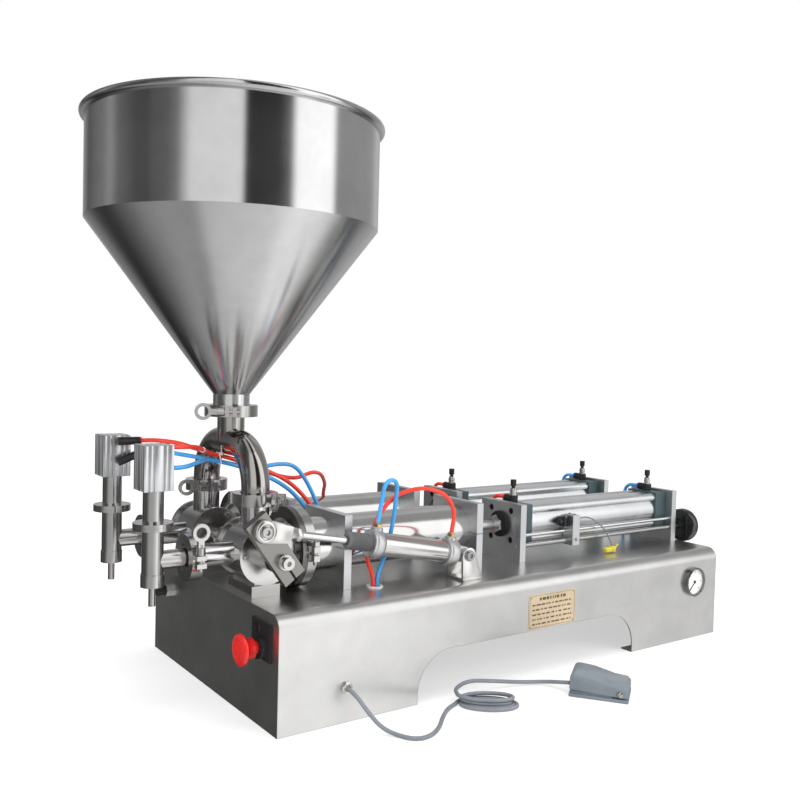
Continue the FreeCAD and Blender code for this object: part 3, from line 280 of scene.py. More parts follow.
def lathe(bm, profile, at, axis, steps=48, within=None):
    """Spin (radius, height) pairs about an axis through at. Radius 0 closes an end."""
    turn = (within or Matrix()) @ Matrix.Translation(at) @ facing(axis)
    rings = []
    for rad, height in profile:
        if rad == 0:
            rings.append([bm.verts.new(turn @ Vector((0, 0, height)))])
            continue
        ring = []
        for i in range(steps):
            a = 2 * math.pi * i / steps
            ring.append(bm.verts.new(turn @ Vector((rad * math.cos(a), rad * math.sin(a), height))))
        rings.append(ring)
    for lower, upper in zip(rings, rings[1:]):
        for i in range(steps):
            j = (i + 1) % steps
            near, far = len(lower), len(upper)
            corners = [lower[i % near], lower[j % near], upper[j % far], upper[i % far]]
            unique = list(dict.fromkeys(corners))
            if len(unique) > 2:
                bm.faces.new(unique)


def block(bm, low, high, turn=None):
    """A box by two corners, turned about the origin if asked."""
    turn = turn or Matrix()
    spots = itertools.product(*zip(low, high))
    v = [bm.verts.new(turn @ Vector(spot)) for spot in spots]
    for face in ((0, 1, 3, 2), (4, 6, 7, 5), (0, 4, 5, 1), (2, 3, 7, 6), (0, 2, 6, 4), (1, 5, 7, 3)):
        bm.faces.new([v[i] for i in face])


def prism(bm, outline, low, high, turn=None):
    """A closed outline in XY carried from low to high along Z."""
    turn = turn or Matrix()
    base = [bm.verts.new(turn @ Vector((x, y, low))) for x, y in outline]
    top = [bm.verts.new(turn @ Vector((x, y, high))) for x, y in outline]
    count = len(outline)
    for i in range(count):
        j = (i + 1) % count
        bm.faces.new((base[i], base[j], top[j], top[i]))
    bm.faces.new(base[::-1])
    bm.faces.new(top)


def hexagon(across):
    """Corners of a hexagon by its width across flats."""
    rad = across / 2 / math.cos(math.pi / 6)
    return [(rad * math.cos(i * math.pi / 3), rad * math.sin(i * math.pi / 3)) for i in range(6)]


def bent_rod(bm, points, rad, steps=10, closed=False):
    """A round rod swept along a chain of points."""
    spots = [Vector(p) for p in points]
    count = len(spots)
    rings = []
    for i, spot in enumerate(spots):
        before = spots[i - 1] if closed or i else spot
        after = spots[(i + 1) % count] if closed or i < count - 1 else spot
        turn = Matrix.Translation(spot) @ facing(after - before)
        if rings:
            start = turn @ Vector((rad, 0, 0))
            twist = min(range(steps), key=lambda k: (start - rings[-1][k].co).length)
        else:
            twist = 0
        ring = [None] * steps
        for k in range(steps):
            a = 2 * math.pi * k / steps
            spot = turn @ Vector((rad * math.cos(a), rad * math.sin(a), 0))
            ring[(k + twist) % steps] = bm.verts.new(spot)
        rings.append(ring)
    last = count if closed else count - 1
    for i in range(last):
        lower, upper = rings[i], rings[(i + 1) % count]
        shift = 0
        if closed and i == count - 1:
            shift = min(range(steps), key=lambda k: (lower[0].co - upper[k].co).length)
        for k in range(steps):
            j = (k + 1) % steps
            bm.faces.new((lower[k], lower[j], upper[(j + shift) % steps], upper[(k + shift) % steps]))
    if not closed:
        bm.faces.new(rings[0][::-1])
        bm.faces.new(rings[-1])


def solid(name, build, finish, body=ROOT, swaps=(), soften=0.0, steps=2):
    """One piece made by build(bm), with its edges rounded by soften."""
    bm = bmesh.new()
    build(bm)
    bmesh.ops.recalc_face_normals(bm, faces=bm.faces)
    if soften:
        sharp = [e for e in bm.edges if len(e.link_faces) == 2 and e.calc_face_angle(0) > 0.5]
        bmesh.ops.bevel(
            bm, geom=sharp, offset=soften, segments=steps,
            affect="EDGES", profile=0.5, clamp_overlap=True,
        )
    mesh = bpy.data.meshes.new(name)
    bm.to_mesh(mesh)
    bm.free()
    return add(name, mesh, finish, body, swaps)


def smooth_line(name, points, rad, finish, body=ROOT, swaps=()):
    """A NURBS tube with the points as its control points."""
    data = bpy.data.curves.new(name, "CURVE")
    data.dimensions = "3D"
    data.bevel_depth = rad
    data.bevel_resolution = 5
    data.resolution_u = 10
    data.use_fill_caps = True
    spline = data.splines.new("NURBS")
    spline.points.add(len(points) - 1)
    for spot, p in zip(spline.points, points):
        spot.co = (*p, 1)
    spline.order_u = 3
    spline.use_endpoint_u = True
    return add(name, data, finish, body, swaps, smooth=False)


def in_metres(points):
    return [tuple(v * MM for v in p) for p in points]


# ------------------------------------------------------------------ pedal cord
CORD_OUT = [
    (-334, -212, 45.5), (-333, -229, 43), (-326, -246, 26), (-316, -262, 9),
    (-305, -279, 2.85), (-293, -303, 2.85), (-272, -306, 2.85), (-247, -292, 2.85),
    (-220, -265, 2.85), (-197, -246.5, 2.85),
]
CORD_ON = [
    (-165, -222, 15.5), (-147, -215.5, 18), (-128, -214.5, 18), (-106, -217, 14.5),
    (-80, -221, 10), (-50, -228, 5.5), (-21, -240, 4.5), (-9.5, -259, 8), (-6.8, -284.2, 14),
]
COIL_MID = (-140, -262)
COIL_TURN = math.radians(-35.35)
# turn count, long and short radius, height and the loop's offset along both
COIL_STAGES = [
    (0.0, 43.2, 25.2, 2.9, 0, -1), (1.0, 37.6, 19.6, 2.9, 0, -1), (2.0, 32.0, 14.0, 2.9, 0, -1),
    (2.5, 30.5, 12.5, 6.2, 0, -0.5), (3.0, 35.0, 16.5, 8.6, -2, 3), (4.0, 39.5, 19.5, 14.0, -3, 5),
]


def coil_points():
    turns = COIL_STAGES[-1][0]
    count = int(turns * 16)
    points = []
    for i in range(count + 1):
        t = turns * i / count
        for before, after in zip(COIL_STAGES, COIL_STAGES[1:]):
            if t <= after[0] + 1e-9:
                f = (t - before[0]) / (after[0] - before[0])
                break
        long_rad, short_rad, height, shift, push = (b + (a - b) * f for b, a in zip(before[1:], after[1:]))
        angle = math.pi - 2 * math.pi * t
        spot = Vector((shift + long_rad * math.cos(angle), push + short_rad * math.sin(angle), height))
        spot.rotate(Matrix.Rotation(COIL_TURN, 3, "Z"))
        points.append((COIL_MID[0] + spot.x, COIL_MID[1] + spot.y, height))
    return points


cord_route = in_metres(CORD_OUT + coil_points() + CORD_ON)
pedal_cord = smooth_line(
    "pedal_cord", cord_route, 0.00275, "grey_cord",
    swaps=("pedal_cord_start", "pedal_cord_coil", "pedal_cord_end"),
)

# ------------------------------------------------------------------ handwheel
wheel_low, wheel_high, wheel_mid = span("handwheel")


def build_wheel(bm):
    hub_x = wheel_low.x
    far = wheel_high.x - hub_x
    profile = [
        (0.0045, 0), (0.0086, 0), (0.009, 0.0006), (0.009, 0.006), (0.024, 0.0066), (0.0285, 0.0085),
        (0.030, 0.012), (0.030, 0.020), (0.0288, 0.0238), (0.026, far), (0.0235, far - 0.0006),
        (0.0215, far - 0.004), (0.013, far - 0.0046), (0.0115, far - 0.001), (0.0045, far - 0.001),
    ]
    lathe(bm, profile, (hub_x, wheel_mid.y, wheel_mid.z), (1, 0, 0), 96)


solid("handwheel_rim", build_wheel, "gloss_black", "adjuster", ("handwheel",))

# ------------------------------------------------------------------ emergency stop and its ring
stop_low, _, stop_mid = span("stop_button")


def build_mushroom(bm):
    face = (stop_low.x, stop_mid.y, stop_mid.z)
    profile = [
        (0, 0.0004), (0.011, 0), (0.0118, 0.0006), (0.0126, 0.0002), (0.017, 0.0004), (0.0192, 0.0016),
        (0.020, 0.0038), (0.0197, 0.0058), (0.0175, 0.0075), (0.0150, 0.0098), (0.0134, 0.013),
        (0.0130, 0.0196), (0.0080, 0.0200), (0.0080, 0.055), (0, 0.055),
    ]
    lathe(bm, profile, face, (1, 0, 0), 72)


def build_stop_ring(bm):
    ring_x = stop_low.x + 0.025
    profile = [
        (0.0085, 0.0065), (0.0085, 0.0002), (0.0125, 0), (0.0142, 0.001), (0.0145, 0.0022), (0.0145, 0.0058),
        (0.0085, 0.0058),
    ]
    lathe(bm, profile, (ring_x, stop_mid.y, stop_mid.z), (1, 0, 0), 60)


solid("stop_mushroom", build_mushroom, "stop_red", "stop", ("stop_button",))
solid("stop_ring", build_stop_ring, "nickel")

# ------------------------------------------------------------------ pressure gauge
gauge_low, _, gauge_mid = span("gauge_case")
gauge_spot = (gauge_mid.x, gauge_low.y, gauge_mid.z)


def build_bezel(bm):
    profile = [
        (0.0212, 0.0048), (0.0212, 0.0018), (0.0222, 0.0003), (0.0236, 0), (0.0246, 0.0008), (0.025, 0.0022),
        (0.025, 0.008), (0.020, 0.0082), (0.020, 0.040), (0.006, 0.0402), (0.006, 0.052), (0, 0.052),
        (0, 0.006), (0.0205, 0.006),
    ]
    lathe(bm, profile, gauge_spot, (0, 1, 0), 96)


def build_dial(bm):
    disc = [(0.0011, 0.0046), (0.0212, 0.0046), (0.0212, 0.0052), (0.0011, 0.0052)]
    lathe(bm, disc, gauge_spot, (0, 1, 0), 72)


def build_ticks(bm):
    for i in range(31):
        long_mark = i % 5 == 0
        inner = 0.0150 if long_mark else 0.0168
        wide = 0.0009 if long_mark else 0.0004
        turn = Matrix.Translation(gauge_spot) @ Matrix.Rotation(math.radians(-225 + 9 * i), 4, "Y")
        block(bm, (inner, 0.0043, -wide / 2), (0.0190, 0.0047, wide / 2), turn)


solid("gauge_bezel", build_bezel, "gauge_chrome", swaps=("gauge_case",))
solid("gauge_dial", build_dial, "dial_white")
solid("gauge_ticks", build_ticks, "ink")

# ------------------------------------------------------------------ rating plate, generic lines only
plate_low, plate_high, _ = span("rating_plate")
# Low corner and size of each border line, as shares of the plate.
PLATE_BORDER = [
    (0.02, 0.03, 0.96, 0.008), (0.02, 0.962, 0.96, 0.008),
    (0.02, 0.03, 0.004, 0.94), (0.976, 0.03, 0.004, 0.94),
]


def build_print(bm):
    front = plate_low.y - 0.00015
    wide = plate_high.x - plate_low.x
    tall = plate_high.z - plate_low.z
    rows = [0.86, 0.70, 0.56, 0.42, 0.28, 0.14]
    for index, row in enumerate(rows):
        z = plate_low.z + row * tall
        x = plate_low.x + (0.22 if index == 0 else 0.07) * wide
        stop = plate_high.x - (0.22 if index == 0 else 0.08) * wide
        while x < stop:
            run = random.uniform(0.002, 0.009)
            deep = 0.0022 if index == 0 else 0.0011
            block(bm, (x, front, z - deep), (min(x + run, stop), plate_low.y + 0.0001, z + deep))
            x += run + random.uniform(0.0012, 0.004)
    for x, y, w, h in PLATE_BORDER:
        block(
            bm, (plate_low.x + x * wide, front, plate_low.z + y * tall),
            (plate_low.x + (x + w) * wide, plate_low.y + 0.0001, plate_low.z + (y + h) * tall),
        )


solid("rating_print", build_print, "ink")


def build_rivets(bm):
    dome = [(0.0016, 0), (0.0014, 0.0006), (0.0008, 0.0010), (0, 0.0011)]
    for x in (plate_low.x + 0.004, plate_high.x - 0.004):
        for z in (plate_low.z + 0.004, plate_high.z - 0.004):
            lathe(bm, dome, (x, plate_low.y, z), (0, -1, 0), 16)


solid("rating_rivets", build_rivets, "nickel")

# ------------------------------------------------------------------ nozzle air cylinders, grooved bar
block_low, block_high, block_mid = span("nozzle_cylinders")


def grooved_square(side, groove, deep, mids):
    """A square outline with flat grooves at the given places on every side."""
    half = side / 2
    edge = [(-half, -half)]
    for mid in mids:
        edge += [
            (mid - groove / 2, -half), (mid - groove / 2, -half + deep),
            (mid + groove / 2, -half + deep), (mid + groove / 2, -half),
        ]
    outline = []
    for quarter in range(4):
        c, s = math.cos(quarter * math.pi / 2), math.sin(quarter * math.pi / 2)
        outline += [(c * x - s * y, s * x + c * y) for x, y in edge]
    return outline


def build_blocks(bm):
    for y in LANES:
        spot = Matrix.Translation((block_mid.x, y, 0))
        outline = grooved_square(0.038, 0.0024, 0.0030, (-0.0125, -0.0065, 0.0065, 0.0125))
        prism(bm, outline, block_low.z, block_high.z, spot)


solid("nozzle_cylinder_bars", build_blocks, "extruded_aluminium", swaps=("nozzle_cylinders",), soften=0.0005)


BAR_BOLT = 0.0135


def build_block_screws(bm):
    for y, (u, v) in itertools.product(LANES, CORNERS):
        seat = (block_mid.x + u * BAR_BOLT, y + v * BAR_BOLT, block_high.z - 0.0006)
        socket_screw(bm, seat, (0, 0, 1), 0.0026, 0.0006)


def socket_screw(bm, seat, axis, rad, tall, within=None):
    """A round head with a hexagonal socket, standing on seat along axis."""
    turn = (within or Matrix()) @ Matrix.Translation(seat) @ facing(axis)
    steps = 24
    deep = tall * 0.6
    outer = [
        (math.cos(2 * math.pi * i / steps), math.sin(2 * math.pi * i / steps)) for i in range(steps)
    ]
    across = rad * 0.52

    def hex_point(i):
        corner = int(i * 6 / steps)
        part = i * 6 / steps - corner
        a, b = corner * math.pi / 3, (corner + 1) * math.pi / 3
        return (
            across * ((1 - part) * math.cos(a) + part * math.cos(b)),
            across * ((1 - part) * math.sin(a) + part * math.sin(b)),
        )

    rings = []
    for r, z in ((rad, 0), (rad, tall * 0.86), (rad * 0.9, tall)):
        rings.append([bm.verts.new(turn @ Vector((r * x, r * y, z))) for x, y in outer])
    for z in (tall, tall - deep):
        rings.append([bm.verts.new(turn @ Vector((*hex_point(i), z))) for i in range(steps)])
    for lower, upper in zip(rings, rings[1:]):
        for i in range(steps):
            j = (i + 1) % steps
            bm.faces.new((lower[i], lower[j], upper[j], upper[i]))
    bm.faces.new(rings[-1])
    bm.faces.new(rings[0][::-1])


solid("nozzle_cylinder_screws", build_block_screws, "zinc_screw")

# ------------------------------------------------------------------ socket screws of plates and valves
plates_low, plates_high, _ = span("cylinder_plates")
_, _, caps_mid = span("valve_caps")
BOLT = 0.0235
SINK = 0.0064
CAP_BOLTS = 0.0315


def build_plate_screws(bm):
    for y, (u, v) in itertools.product(LANES, CORNERS):
        by, bz = y + u * BOLT, AXIS + v * BOLT
        socket_screw(bm, (plates_low.x + SINK, by, bz), (-1, 0, 0), 0.005, 0.006)
        socket_screw(bm, (plates_high.x - SINK, by, bz), (1, 0, 0), 0.005, 0.006)


def build_valve_screws(bm):
    for y in LANES:
        for face in (-1, 1):
            for degrees in (60, 180, 300):
                a = math.radians(degrees)
                x, z = caps_mid.x + CAP_BOLTS * math.cos(a), AXIS + CAP_BOLTS * math.sin(a)
                seat = (x, y + face * 0.040, z)
                socket_screw(bm, seat, (0, face, 0), 0.004, 0.0025)


solid("plate_screw_heads", build_plate_screws, "dark_screw", swaps=("socket_screws",))
solid("valve_screw_heads", build_valve_screws, "zinc_screw", swaps=("socket_screws",))

# ------------------------------------------------------------------ speed controllers and push-in elbows
CAP_TOP = AXIS + 0.0325
ARM_Z = CAP_TOP + 0.0065
VALVE_X = (0.0615, 0.3955)
NOZZLE_X = -0.544
BLOCK_FACE = 0.019
ELBOW_OUT = 0.009
ELBOW_Z = (0.345, 0.318)
RED_OVER = 0.33
FAR_LOW_TILT = math.radians(22)
INLET = (-0.432, 0.148, 0.105)
INLET_LEG = 0.016
ALONG_X = facing((1, 0, 0))


def collar(bm, at, axis, start, rad, within=None):
    """The loose ring that frees a hose, at the mouth of a push-in fitting."""
    ring = [
        (0.0032, start), (rad - 0.0006, start), (rad, start + 0.0005),
        (rad, start + 0.0018), (0.0032, start + 0.0020),
    ]
    lathe(bm, ring, at, axis, 32, within)


def build_controllers(bm):
    body = [(0, 0), (0.0076, 0), (0.0080, 0.0006), (0.0080, 0.0112), (0.0072, 0.0122), (0, 0.0122)]
    arm = [
        (0, 0), (0.0060, 0), (0.0060, 0.0168), (0.0054, 0.0176),
        (0.0032, 0.0176), (0.0032, 0.012), (0, 0.012),
    ]
    for x, y in itertools.product(VALVE_X, LANES):
        lathe(bm, body, (x, y, CAP_TOP), (0, 0, 1), 40)
        lathe(bm, arm, (x, y, ARM_Z), (0, 1, 0), 32)


def build_controller_stems(bm):
    stem = [
        (0, 0.0118), (0.0063, 0.0118), (0.0063, 0.0136), (0.0050, 0.0142), (0.0050, 0.0160),
        (0.0056, 0.0164), (0.0056, 0.0200), (0.0050, 0.0204), (0.0050, 0.0222), (0.0046, 0.0235),
        (0.0031, 0.0235), (0.0031, 0.0130),
    ]
    for x, y in itertools.product(VALVE_X, LANES):
        lathe(bm, stem, (x, y, CAP_TOP), (0, 0, 1), 40)


def nozzle_arms():
    """Place, outward side and heading of the four elbow arms of the nozzle air cylinders."""
    for y, z in itertools.product(LANES, ELBOW_Z):
        out = -1 if y > 0 else 1
        tilt = FAR_LOW_TILT if y > 0 and z < RED_OVER else 0
        at = Vector((NOZZLE_X + 0.004, y + out * (BLOCK_FACE + ELBOW_OUT), z))
        yield at, out, Matrix.Translation(at) @ Matrix.Rotation(-tilt, 4, "Y")


def build_elbows(bm):
    stem = [(0, -0.0045), (0.0045, -0.0045), (0.0045, 0.0088), (0, 0.0088)]
    arm = [
        (0, -0.006), (0.0049, -0.006), (0.0055, -0.0053), (0.0055, 0.0230), (0.0050, 0.0238),
        (0.0032, 0.0238), (0.0032, 0.0165), (0, 0.0165),
    ]
    for at, out, heading in nozzle_arms():
        lathe(bm, stem, at - Vector((0, out * ELBOW_OUT, 0)), (0, out, 0), 28)
        lathe(bm, arm, (0, 0, 0), (1, 0, 0), 32, heading)


def build_inlet(bm):
    x, y, z = INLET
    lathe(bm, [(0, 0.0095), (0.0065, 0.0095), (0.0065, -0.012), (0, -0.012)], INLET, (1, 0, 0), 32)
    knuckle = [(0, -0.022), (0.0062, -0.022), (0.0070, -0.0212), (0.0070, -0.0108), (0, -0.0100)]
    lathe(bm, knuckle, INLET, (1, 0, 0), 40)
    riser = [
        (0, 0), (0.0065, 0), (0.0065, 0.0212), (0.0058, 0.0220),
        (0.0042, 0.0220), (0.0042, 0.0090), (0, 0.0090),
    ]
    lathe(bm, riser, (x - INLET_LEG, y, z), (0, 0, 1), 40)


def build_inlet_nut(bm):
    x, y, z = INLET
    prism(bm, hexagon(0.017), -0.008, 0, Matrix.Translation(INLET) @ ALONG_X)
    collar(bm, (x - INLET_LEG, y, z), (0, 0, 1), 0.0220, 0.0060)


def build_rings(bm, valve_x, upper):
    for y in LANES:
        collar(bm, (valve_x, y, ARM_Z), (0, 1, 0), 0.0178, 0.0057)
    for at, _, heading in nozzle_arms():
        if (at.z > RED_OVER) == upper:
            collar(bm, (0, 0, 0), (1, 0, 0), 0.0240, 0.0052, heading)


FITTING_PIECES = [
    ("controller_bodies", build_controllers, "black_plastic"),
    ("controller_stems", build_controller_stems, "nickel"),
    ("nozzle_elbows", build_elbows, "black_plastic"),
    ("inlet_elbow", build_inlet, "black_plastic"),
    ("inlet_nut", build_inlet_nut, "nickel"),
    ("release_rings_red", lambda bm: build_rings(bm, VALVE_X[0], True), "ring_red"),
    ("release_rings_blue", lambda bm: build_rings(bm, VALVE_X[1], False), "ring_blue"),
]
for name, build, finish in FITTING_PIECES:
    solid(name, build, finish, swaps=("air_fittings",))

# ------------------------------------------------------------------ cable ties of the hose bundle
TIE_MID = (-0.422, 0, 0.322)
TIE_HALF = (0.0074, 0.0080)
TIE_LEAN = 0.25


def tie_loop():
    """Corner-rounded loop about the bundle, leaning along it."""
    points = []
    for i in range(24):
        a = 2 * math.pi * i / 24
        u, v = math.cos(a), math.sin(a)
        reach = (abs(u) ** 4 + abs(v) ** 4) ** -0.25
        across, up = u * reach * TIE_HALF[0], v * reach * TIE_HALF[1]
        points.append((TIE_MID[0] - TIE_LEAN * up, TIE_MID[1] + across, TIE_MID[2] + up))
    return points


def build_ties(bm):
    bent_rod(bm, tie_loop(), 0.0009, 8, closed=True)
    block(bm, (-0.4240, -0.0105, 0.3270), (-0.4200, -0.0072, 0.3310))
    tail = [(-0.422, -0.0098, 0.331), (-0.4225, -0.0105, 0.337), (-0.4235, -0.0118, 0.341)]
    bent_rod(bm, tail, 0.0007, 6)
    band = [(0.0030, -0.0012), (0.0038, -0.0012), (0.0038, 0.0012), (0.0030, 0.0012)]
    for way in (-1, 1):
        axis = Vector((-0.026, way * 0.0276, 0.011)).normalized()
        lathe(bm, band, (-0.453, way * 0.0179, 0.3365), axis, 28)


solid("cable_ties", build_ties, "tie_white")

# ------------------------------------------------------------------ stroke sensor, its lead and plug
carriage_low, carriage_high, _ = span("sensor_carriage")


def build_sensor(bm):
    x = carriage_low.x
    block(bm, (x - 0.0035, -0.1262, 0.199), (x, -0.1132, 0.215))
    block(bm, (x - 0.012, -0.1262, 0.199), (x - 0.0085, -0.1132, 0.215))
    block(bm, (x - 0.009, -0.1250, 0.2002), (x - 0.003, -0.1144, 0.2138))
    nose = [(0, 0), (0.005, 0), (0.005, 0.0072), (0.0042, 0.008), (0, 0.008)]
    lathe(bm, nose, (x - 0.012, -0.120, 0.207), (-1, 0, 0), 28)


def build_sensor_screws(bm):
    x = carriage_low.x
    for y in (-0.1236, -0.1158):
        socket_screw(bm, (x - 0.006, y, 0.2138), (0, 0, 1), 0.0019, 0.0034)
    middle = (x + carriage_high.x) / 2
    socket_screw(bm, (middle, carriage_low.y, 0.1775), (0, -1, 0), 0.0026, 0.0012)
    for y in (-0.1290, -0.1180):
        socket_screw(bm, (middle, y, carriage_high.z), (0, 0, 1), 0.0022, 0.0016)


PLUG_LEADS = [
    [(238, -145, 156), (242, -145.5, 159), (245.5, -146, 164)],
    [(238, -142, 156), (242.5, -141, 155), (245.8, -140, 153.5)],
]


def build_plug(bm):
    block(bm, (0.2165, -0.1475, 0.1520), (0.2330, -0.1395, 0.1590))
    block(bm, (0.2320, -0.1485, 0.1515), (0.2385, -0.1385, 0.1605))
    for lead in PLUG_LEADS:
        bent_rod(bm, in_metres(lead), 0.0013, 8)


solid("sensor_body", build_sensor, "black_plastic", "carriage", ("stroke_sensor",), 0.0008)
solid("sensor_screws", build_sensor_screws, "zinc_screw", "carriage")
SENSOR_CABLE = [
    (164, -126, 211), (180, -126, 212), (196, -127.5, 210),
    (214, -133, 199), (228, -139, 181), (237, -143, 158),
]
smooth_line("sensor_cable", in_metres(SENSOR_CABLE), 0.0012, "grey_cord", "carriage")
solid("sensor_plug", build_plug, "yellow_plastic", "carriage", (), 0.0012)

# ------------------------------------------------------------------ foot pedal
PEDAL_TURN = Matrix.Translation((-0.020, -0.295, 0)) @ Matrix.Rotation(math.radians(-53.4), 4, "Z")
SIDEWAYS = Matrix.Rotation(math.radians(90), 4, "X")


def build_treadle(bm):
    side = [
        (0.0006, 0.010), (0.0815, 0.0062), (0.0818, 0.0165), (0.0765, 0.0213), (0.060, 0.0226),
        (0.030, 0.0300), (0.012, 0.0318), (0.005, 0.0316), (0.0012, 0.0285),
    ]
    carry = PEDAL_TURN @ Matrix.Translation((0, 0.060, 0)) @ SIDEWAYS
    prism(bm, side, 0.0, 0.060, carry)


def build_tray(bm):
    block(bm, (0, 0, 0), (0.082, 0.060, 0.005), PEDAL_TURN)
    block(bm, (0.003, 0.003, 0.004), (0.060, 0.057, 0.0085), PEDAL_TURN)


def build_pedal_rivets(bm):
    for y, way in ((-0.0002, -1), (0.0602, 1)):
        spot = PEDAL_TURN @ Vector((0.070, y, 0.012))
        axis = PEDAL_TURN.to_3x3() @ Vector((0, way, 0))
        lathe(bm, [(0.0042, 0), (0.0042, 0.0008), (0.0030, 0.0017), (0, 0.0019)], spot, axis, 24)


solid("pedal_cover", build_treadle, "pedal_blue", "treadle", ("pedal_treadle",), 0.0022, 3)
solid("pedal_tray", build_tray, "pedal_blue", ROOT, ("pedal_base",), 0.0010, 2)
solid("pedal_rivets", build_pedal_rivets, "nickel", ROOT)

# ------------------------------------------------------------------ strain relief
gland_low, _, gland_mid = span("cord_gland")


def build_relief(bm):
    mouth = (gland_mid.x, gland_low.y, gland_mid.z)
    flange = [
        (0.0028, 0), (0.0062, 0), (0.0076, -0.0006),
        (0.0081, -0.0016), (0.0081, -0.003), (0.0028, -0.003),
    ]
    lathe(bm, flange, mouth, (0, -1, 0), 48)
    lip = [(0.0028, 0.0002), (0.0036, 0.0014), (0.0047, 0.0003), (0.0047, -0.001), (0.0028, -0.001)]
    lathe(bm, lip, mouth, (0, -1, 0), 32)


solid("cord_relief", build_relief, "nickel", swaps=("cord_gland",))

# ------------------------------------------------------------------ lever cylinder, rod end and bracket
ACT_AT = Vector((-0.112, -0.161, 0.187))
ACT_REACH = 0.32773
act_ahead = Vector((-0.322, 0, 0.061)).normalized()
act_turn = Matrix((act_ahead, (0, 1, 0), act_ahead.cross(Vector((0, 1, 0))))).transposed().to_4x4()
ACT = Matrix.Translation(ACT_AT) @ act_turn
ON_EDGE = Matrix.Rotation(math.radians(90), 4, "X")


def build_act_barrel(bm):
    tube = [(0, 0.033), (0.0158, 0.033), (0.0160, 0.0345), (0.0160, 0.1455), (0, 0.147)]
    lathe(bm, tube, (0, 0, 0), (1, 0, 0), 64, ACT)


def build_act_heads(bm):
    for low, high in ((0.013, 0.034), (0.146, 0.165)):
        profile = [
            (0, low), (0.0160, low), (0.0192, low + 0.0028), (0.0200, low + 0.0045), (0.0200, high - 0.0050),
            (0.0190, high - 0.0036), (0.0190, high - 0.0010), (0.0182, high), (0, high),
        ]
        lathe(bm, profile, (0, 0, 0), (1, 0, 0), 64, ACT)
    for x in (0.024, 0.155):
        boss = [(0, 0.012), (0.0088, 0.012), (0.0088, 0.0212), (0.0072, 0.0226), (0, 0.0226)]
        lathe(bm, boss, (x, 0, 0), (0, 0, -1), 32, ACT)
    ear = [(0.0150, -0.0120), (0.0150, 0.0120)]
    ear += [(0.011 * math.cos(a), 0.011 * math.sin(a)) for a in (math.radians(v) for v in range(80, 281, 20))]
    prism(bm, ear, -0.010, 0.010, ACT @ ON_EDGE)


def build_act_nose(bm):
    profile = [(0, 0.164), (0.0116, 0.165)]
    for i in range(21):
        x = 0.1668 + i * 0.00155
        profile += [(0.0110, x), (0.0120, x + 0.0004), (0.0120, x + 0.0007), (0.0110, x + 0.0011)]
    profile += [(0.0112, 0.1994), (0.0104, 0.2000), (0.0060, 0.2000), (0.0055, 0.1985), (0, 0.1985)]
    lathe(bm, profile, (0, 0, 0), (1, 0, 0), 48, ACT)


solid("lever_barrel", build_act_barrel, "barrel_steel", "lever_air_cylinder", ("lever_cylinder",))
solid("lever_heads", build_act_heads, "cast_aluminium", "lever_air_cylinder", ("lever_cylinder",), 0.0005)
solid("lever_nose", build_act_nose, "nose_grey", "lever_air_cylinder", ("lever_cylinder",))


def build_clevis(bm):
    end = ACT_REACH
    prism(bm, hexagon(0.0165), end - 0.0560, end - 0.0490, ACT @ ALONG_X)
    neck = [
        (0, end - 0.0488), (0.0082, end - 0.0488), (0.0086, end - 0.0482), (0.0092, end - 0.0430),
        (0.0122, end - 0.0370), (0.0122, end - 0.0358), (0, end - 0.0358),
    ]
    lathe(bm, neck, (0, 0, 0), (1, 0, 0), 48, ACT)
    arm = [(end - 0.0375, -0.0108), (end - 0.004, -0.0138), (end - 0.004, 0.0138), (end - 0.0375, 0.0108)]
    for way in (-1, 1):
        low, high = sorted((-way * 0.0068, -way * 0.0138))
        prism(bm, arm, low, high, ACT @ ON_EDGE)
        eye = [
            (0.0041, 0.0066), (0.0150, 0.0066), (0.0150, 0.0126), (0.0140, 0.0140),
            (0.0118, 0.0150), (0.0098, 0.0150), (0.0094, 0.0132), (0.0041, 0.0132),
        ]
        lathe(bm, eye, (end, 0, 0), (0, way, 0), 64, ACT)
    pin = [(0, -0.0140), (0.0040, -0.0140), (0.0040, 0.0134), (0, 0.0134)]
    lathe(bm, pin, (end, 0, 0), (0, 1, 0), 32, ACT)


def build_clevis_pin(bm):
    socket_screw(bm, (ACT_REACH, -0.0131, 0), (0, -1, 0), 0.0072, 0.0046, ACT)
    nut = [(0, 0.0130), (0.0066, 0.0130), (0.0066, 0.0146), (0, 0.0148)]
    lathe(bm, nut, (ACT_REACH, 0, 0), (0, 1, 0), 6, ACT)


solid("clevis_fork", build_clevis, "bright_turned", "lever_rod", ("lever_clevis",), 0.0004)
solid("clevis_pin_head", build_clevis_pin, "zinc_screw", "lever_rod", ("lever_clevis",))


def build_bracket(bm):
    side = [(-0.010, 0.150), (0.026, 0.150), (0.0142, 0.186)]
    for degrees in range(15, 181, 15):
        a = math.radians(degrees)
        side.append((0.0015 + 0.0125 * math.cos(a), 0.186 + 0.012 * math.sin(a)))
    stand = Matrix.Translation((ACT_AT.x, 0, 0)) @ ON_EDGE
    for low in (0.1761, 0.1421):
        prism(bm, side, low, low + 0.0038, stand)
    block(bm, (ACT_AT.x - 0.010, -0.180, 0.150), (ACT_AT.x + 0.026, -0.142, 0.154))


def build_bracket_bolt(bm):
    at = (ACT_AT.x, 0, ACT_AT.z)
    washer = [(0.003, 0.1798), (0.0085, 0.1798), (0.0085, 0.1812), (0.003, 0.1812)]
    lathe(bm, washer, at, (0, -1, 0), 36)
    socket_screw(bm, (ACT_AT.x, -0.1811, ACT_AT.z), (0, -1, 0), 0.0068, 0.0048)
    lathe(bm, [(0, 0.142), (0.0049, 0.142), (0.0049, 0.180), (0, 0.180)], at, (0, -1, 0), 28)
    prism(bm, hexagon(0.013), 0.1366, 0.1416, Matrix.Translation(at) @ ON_EDGE)


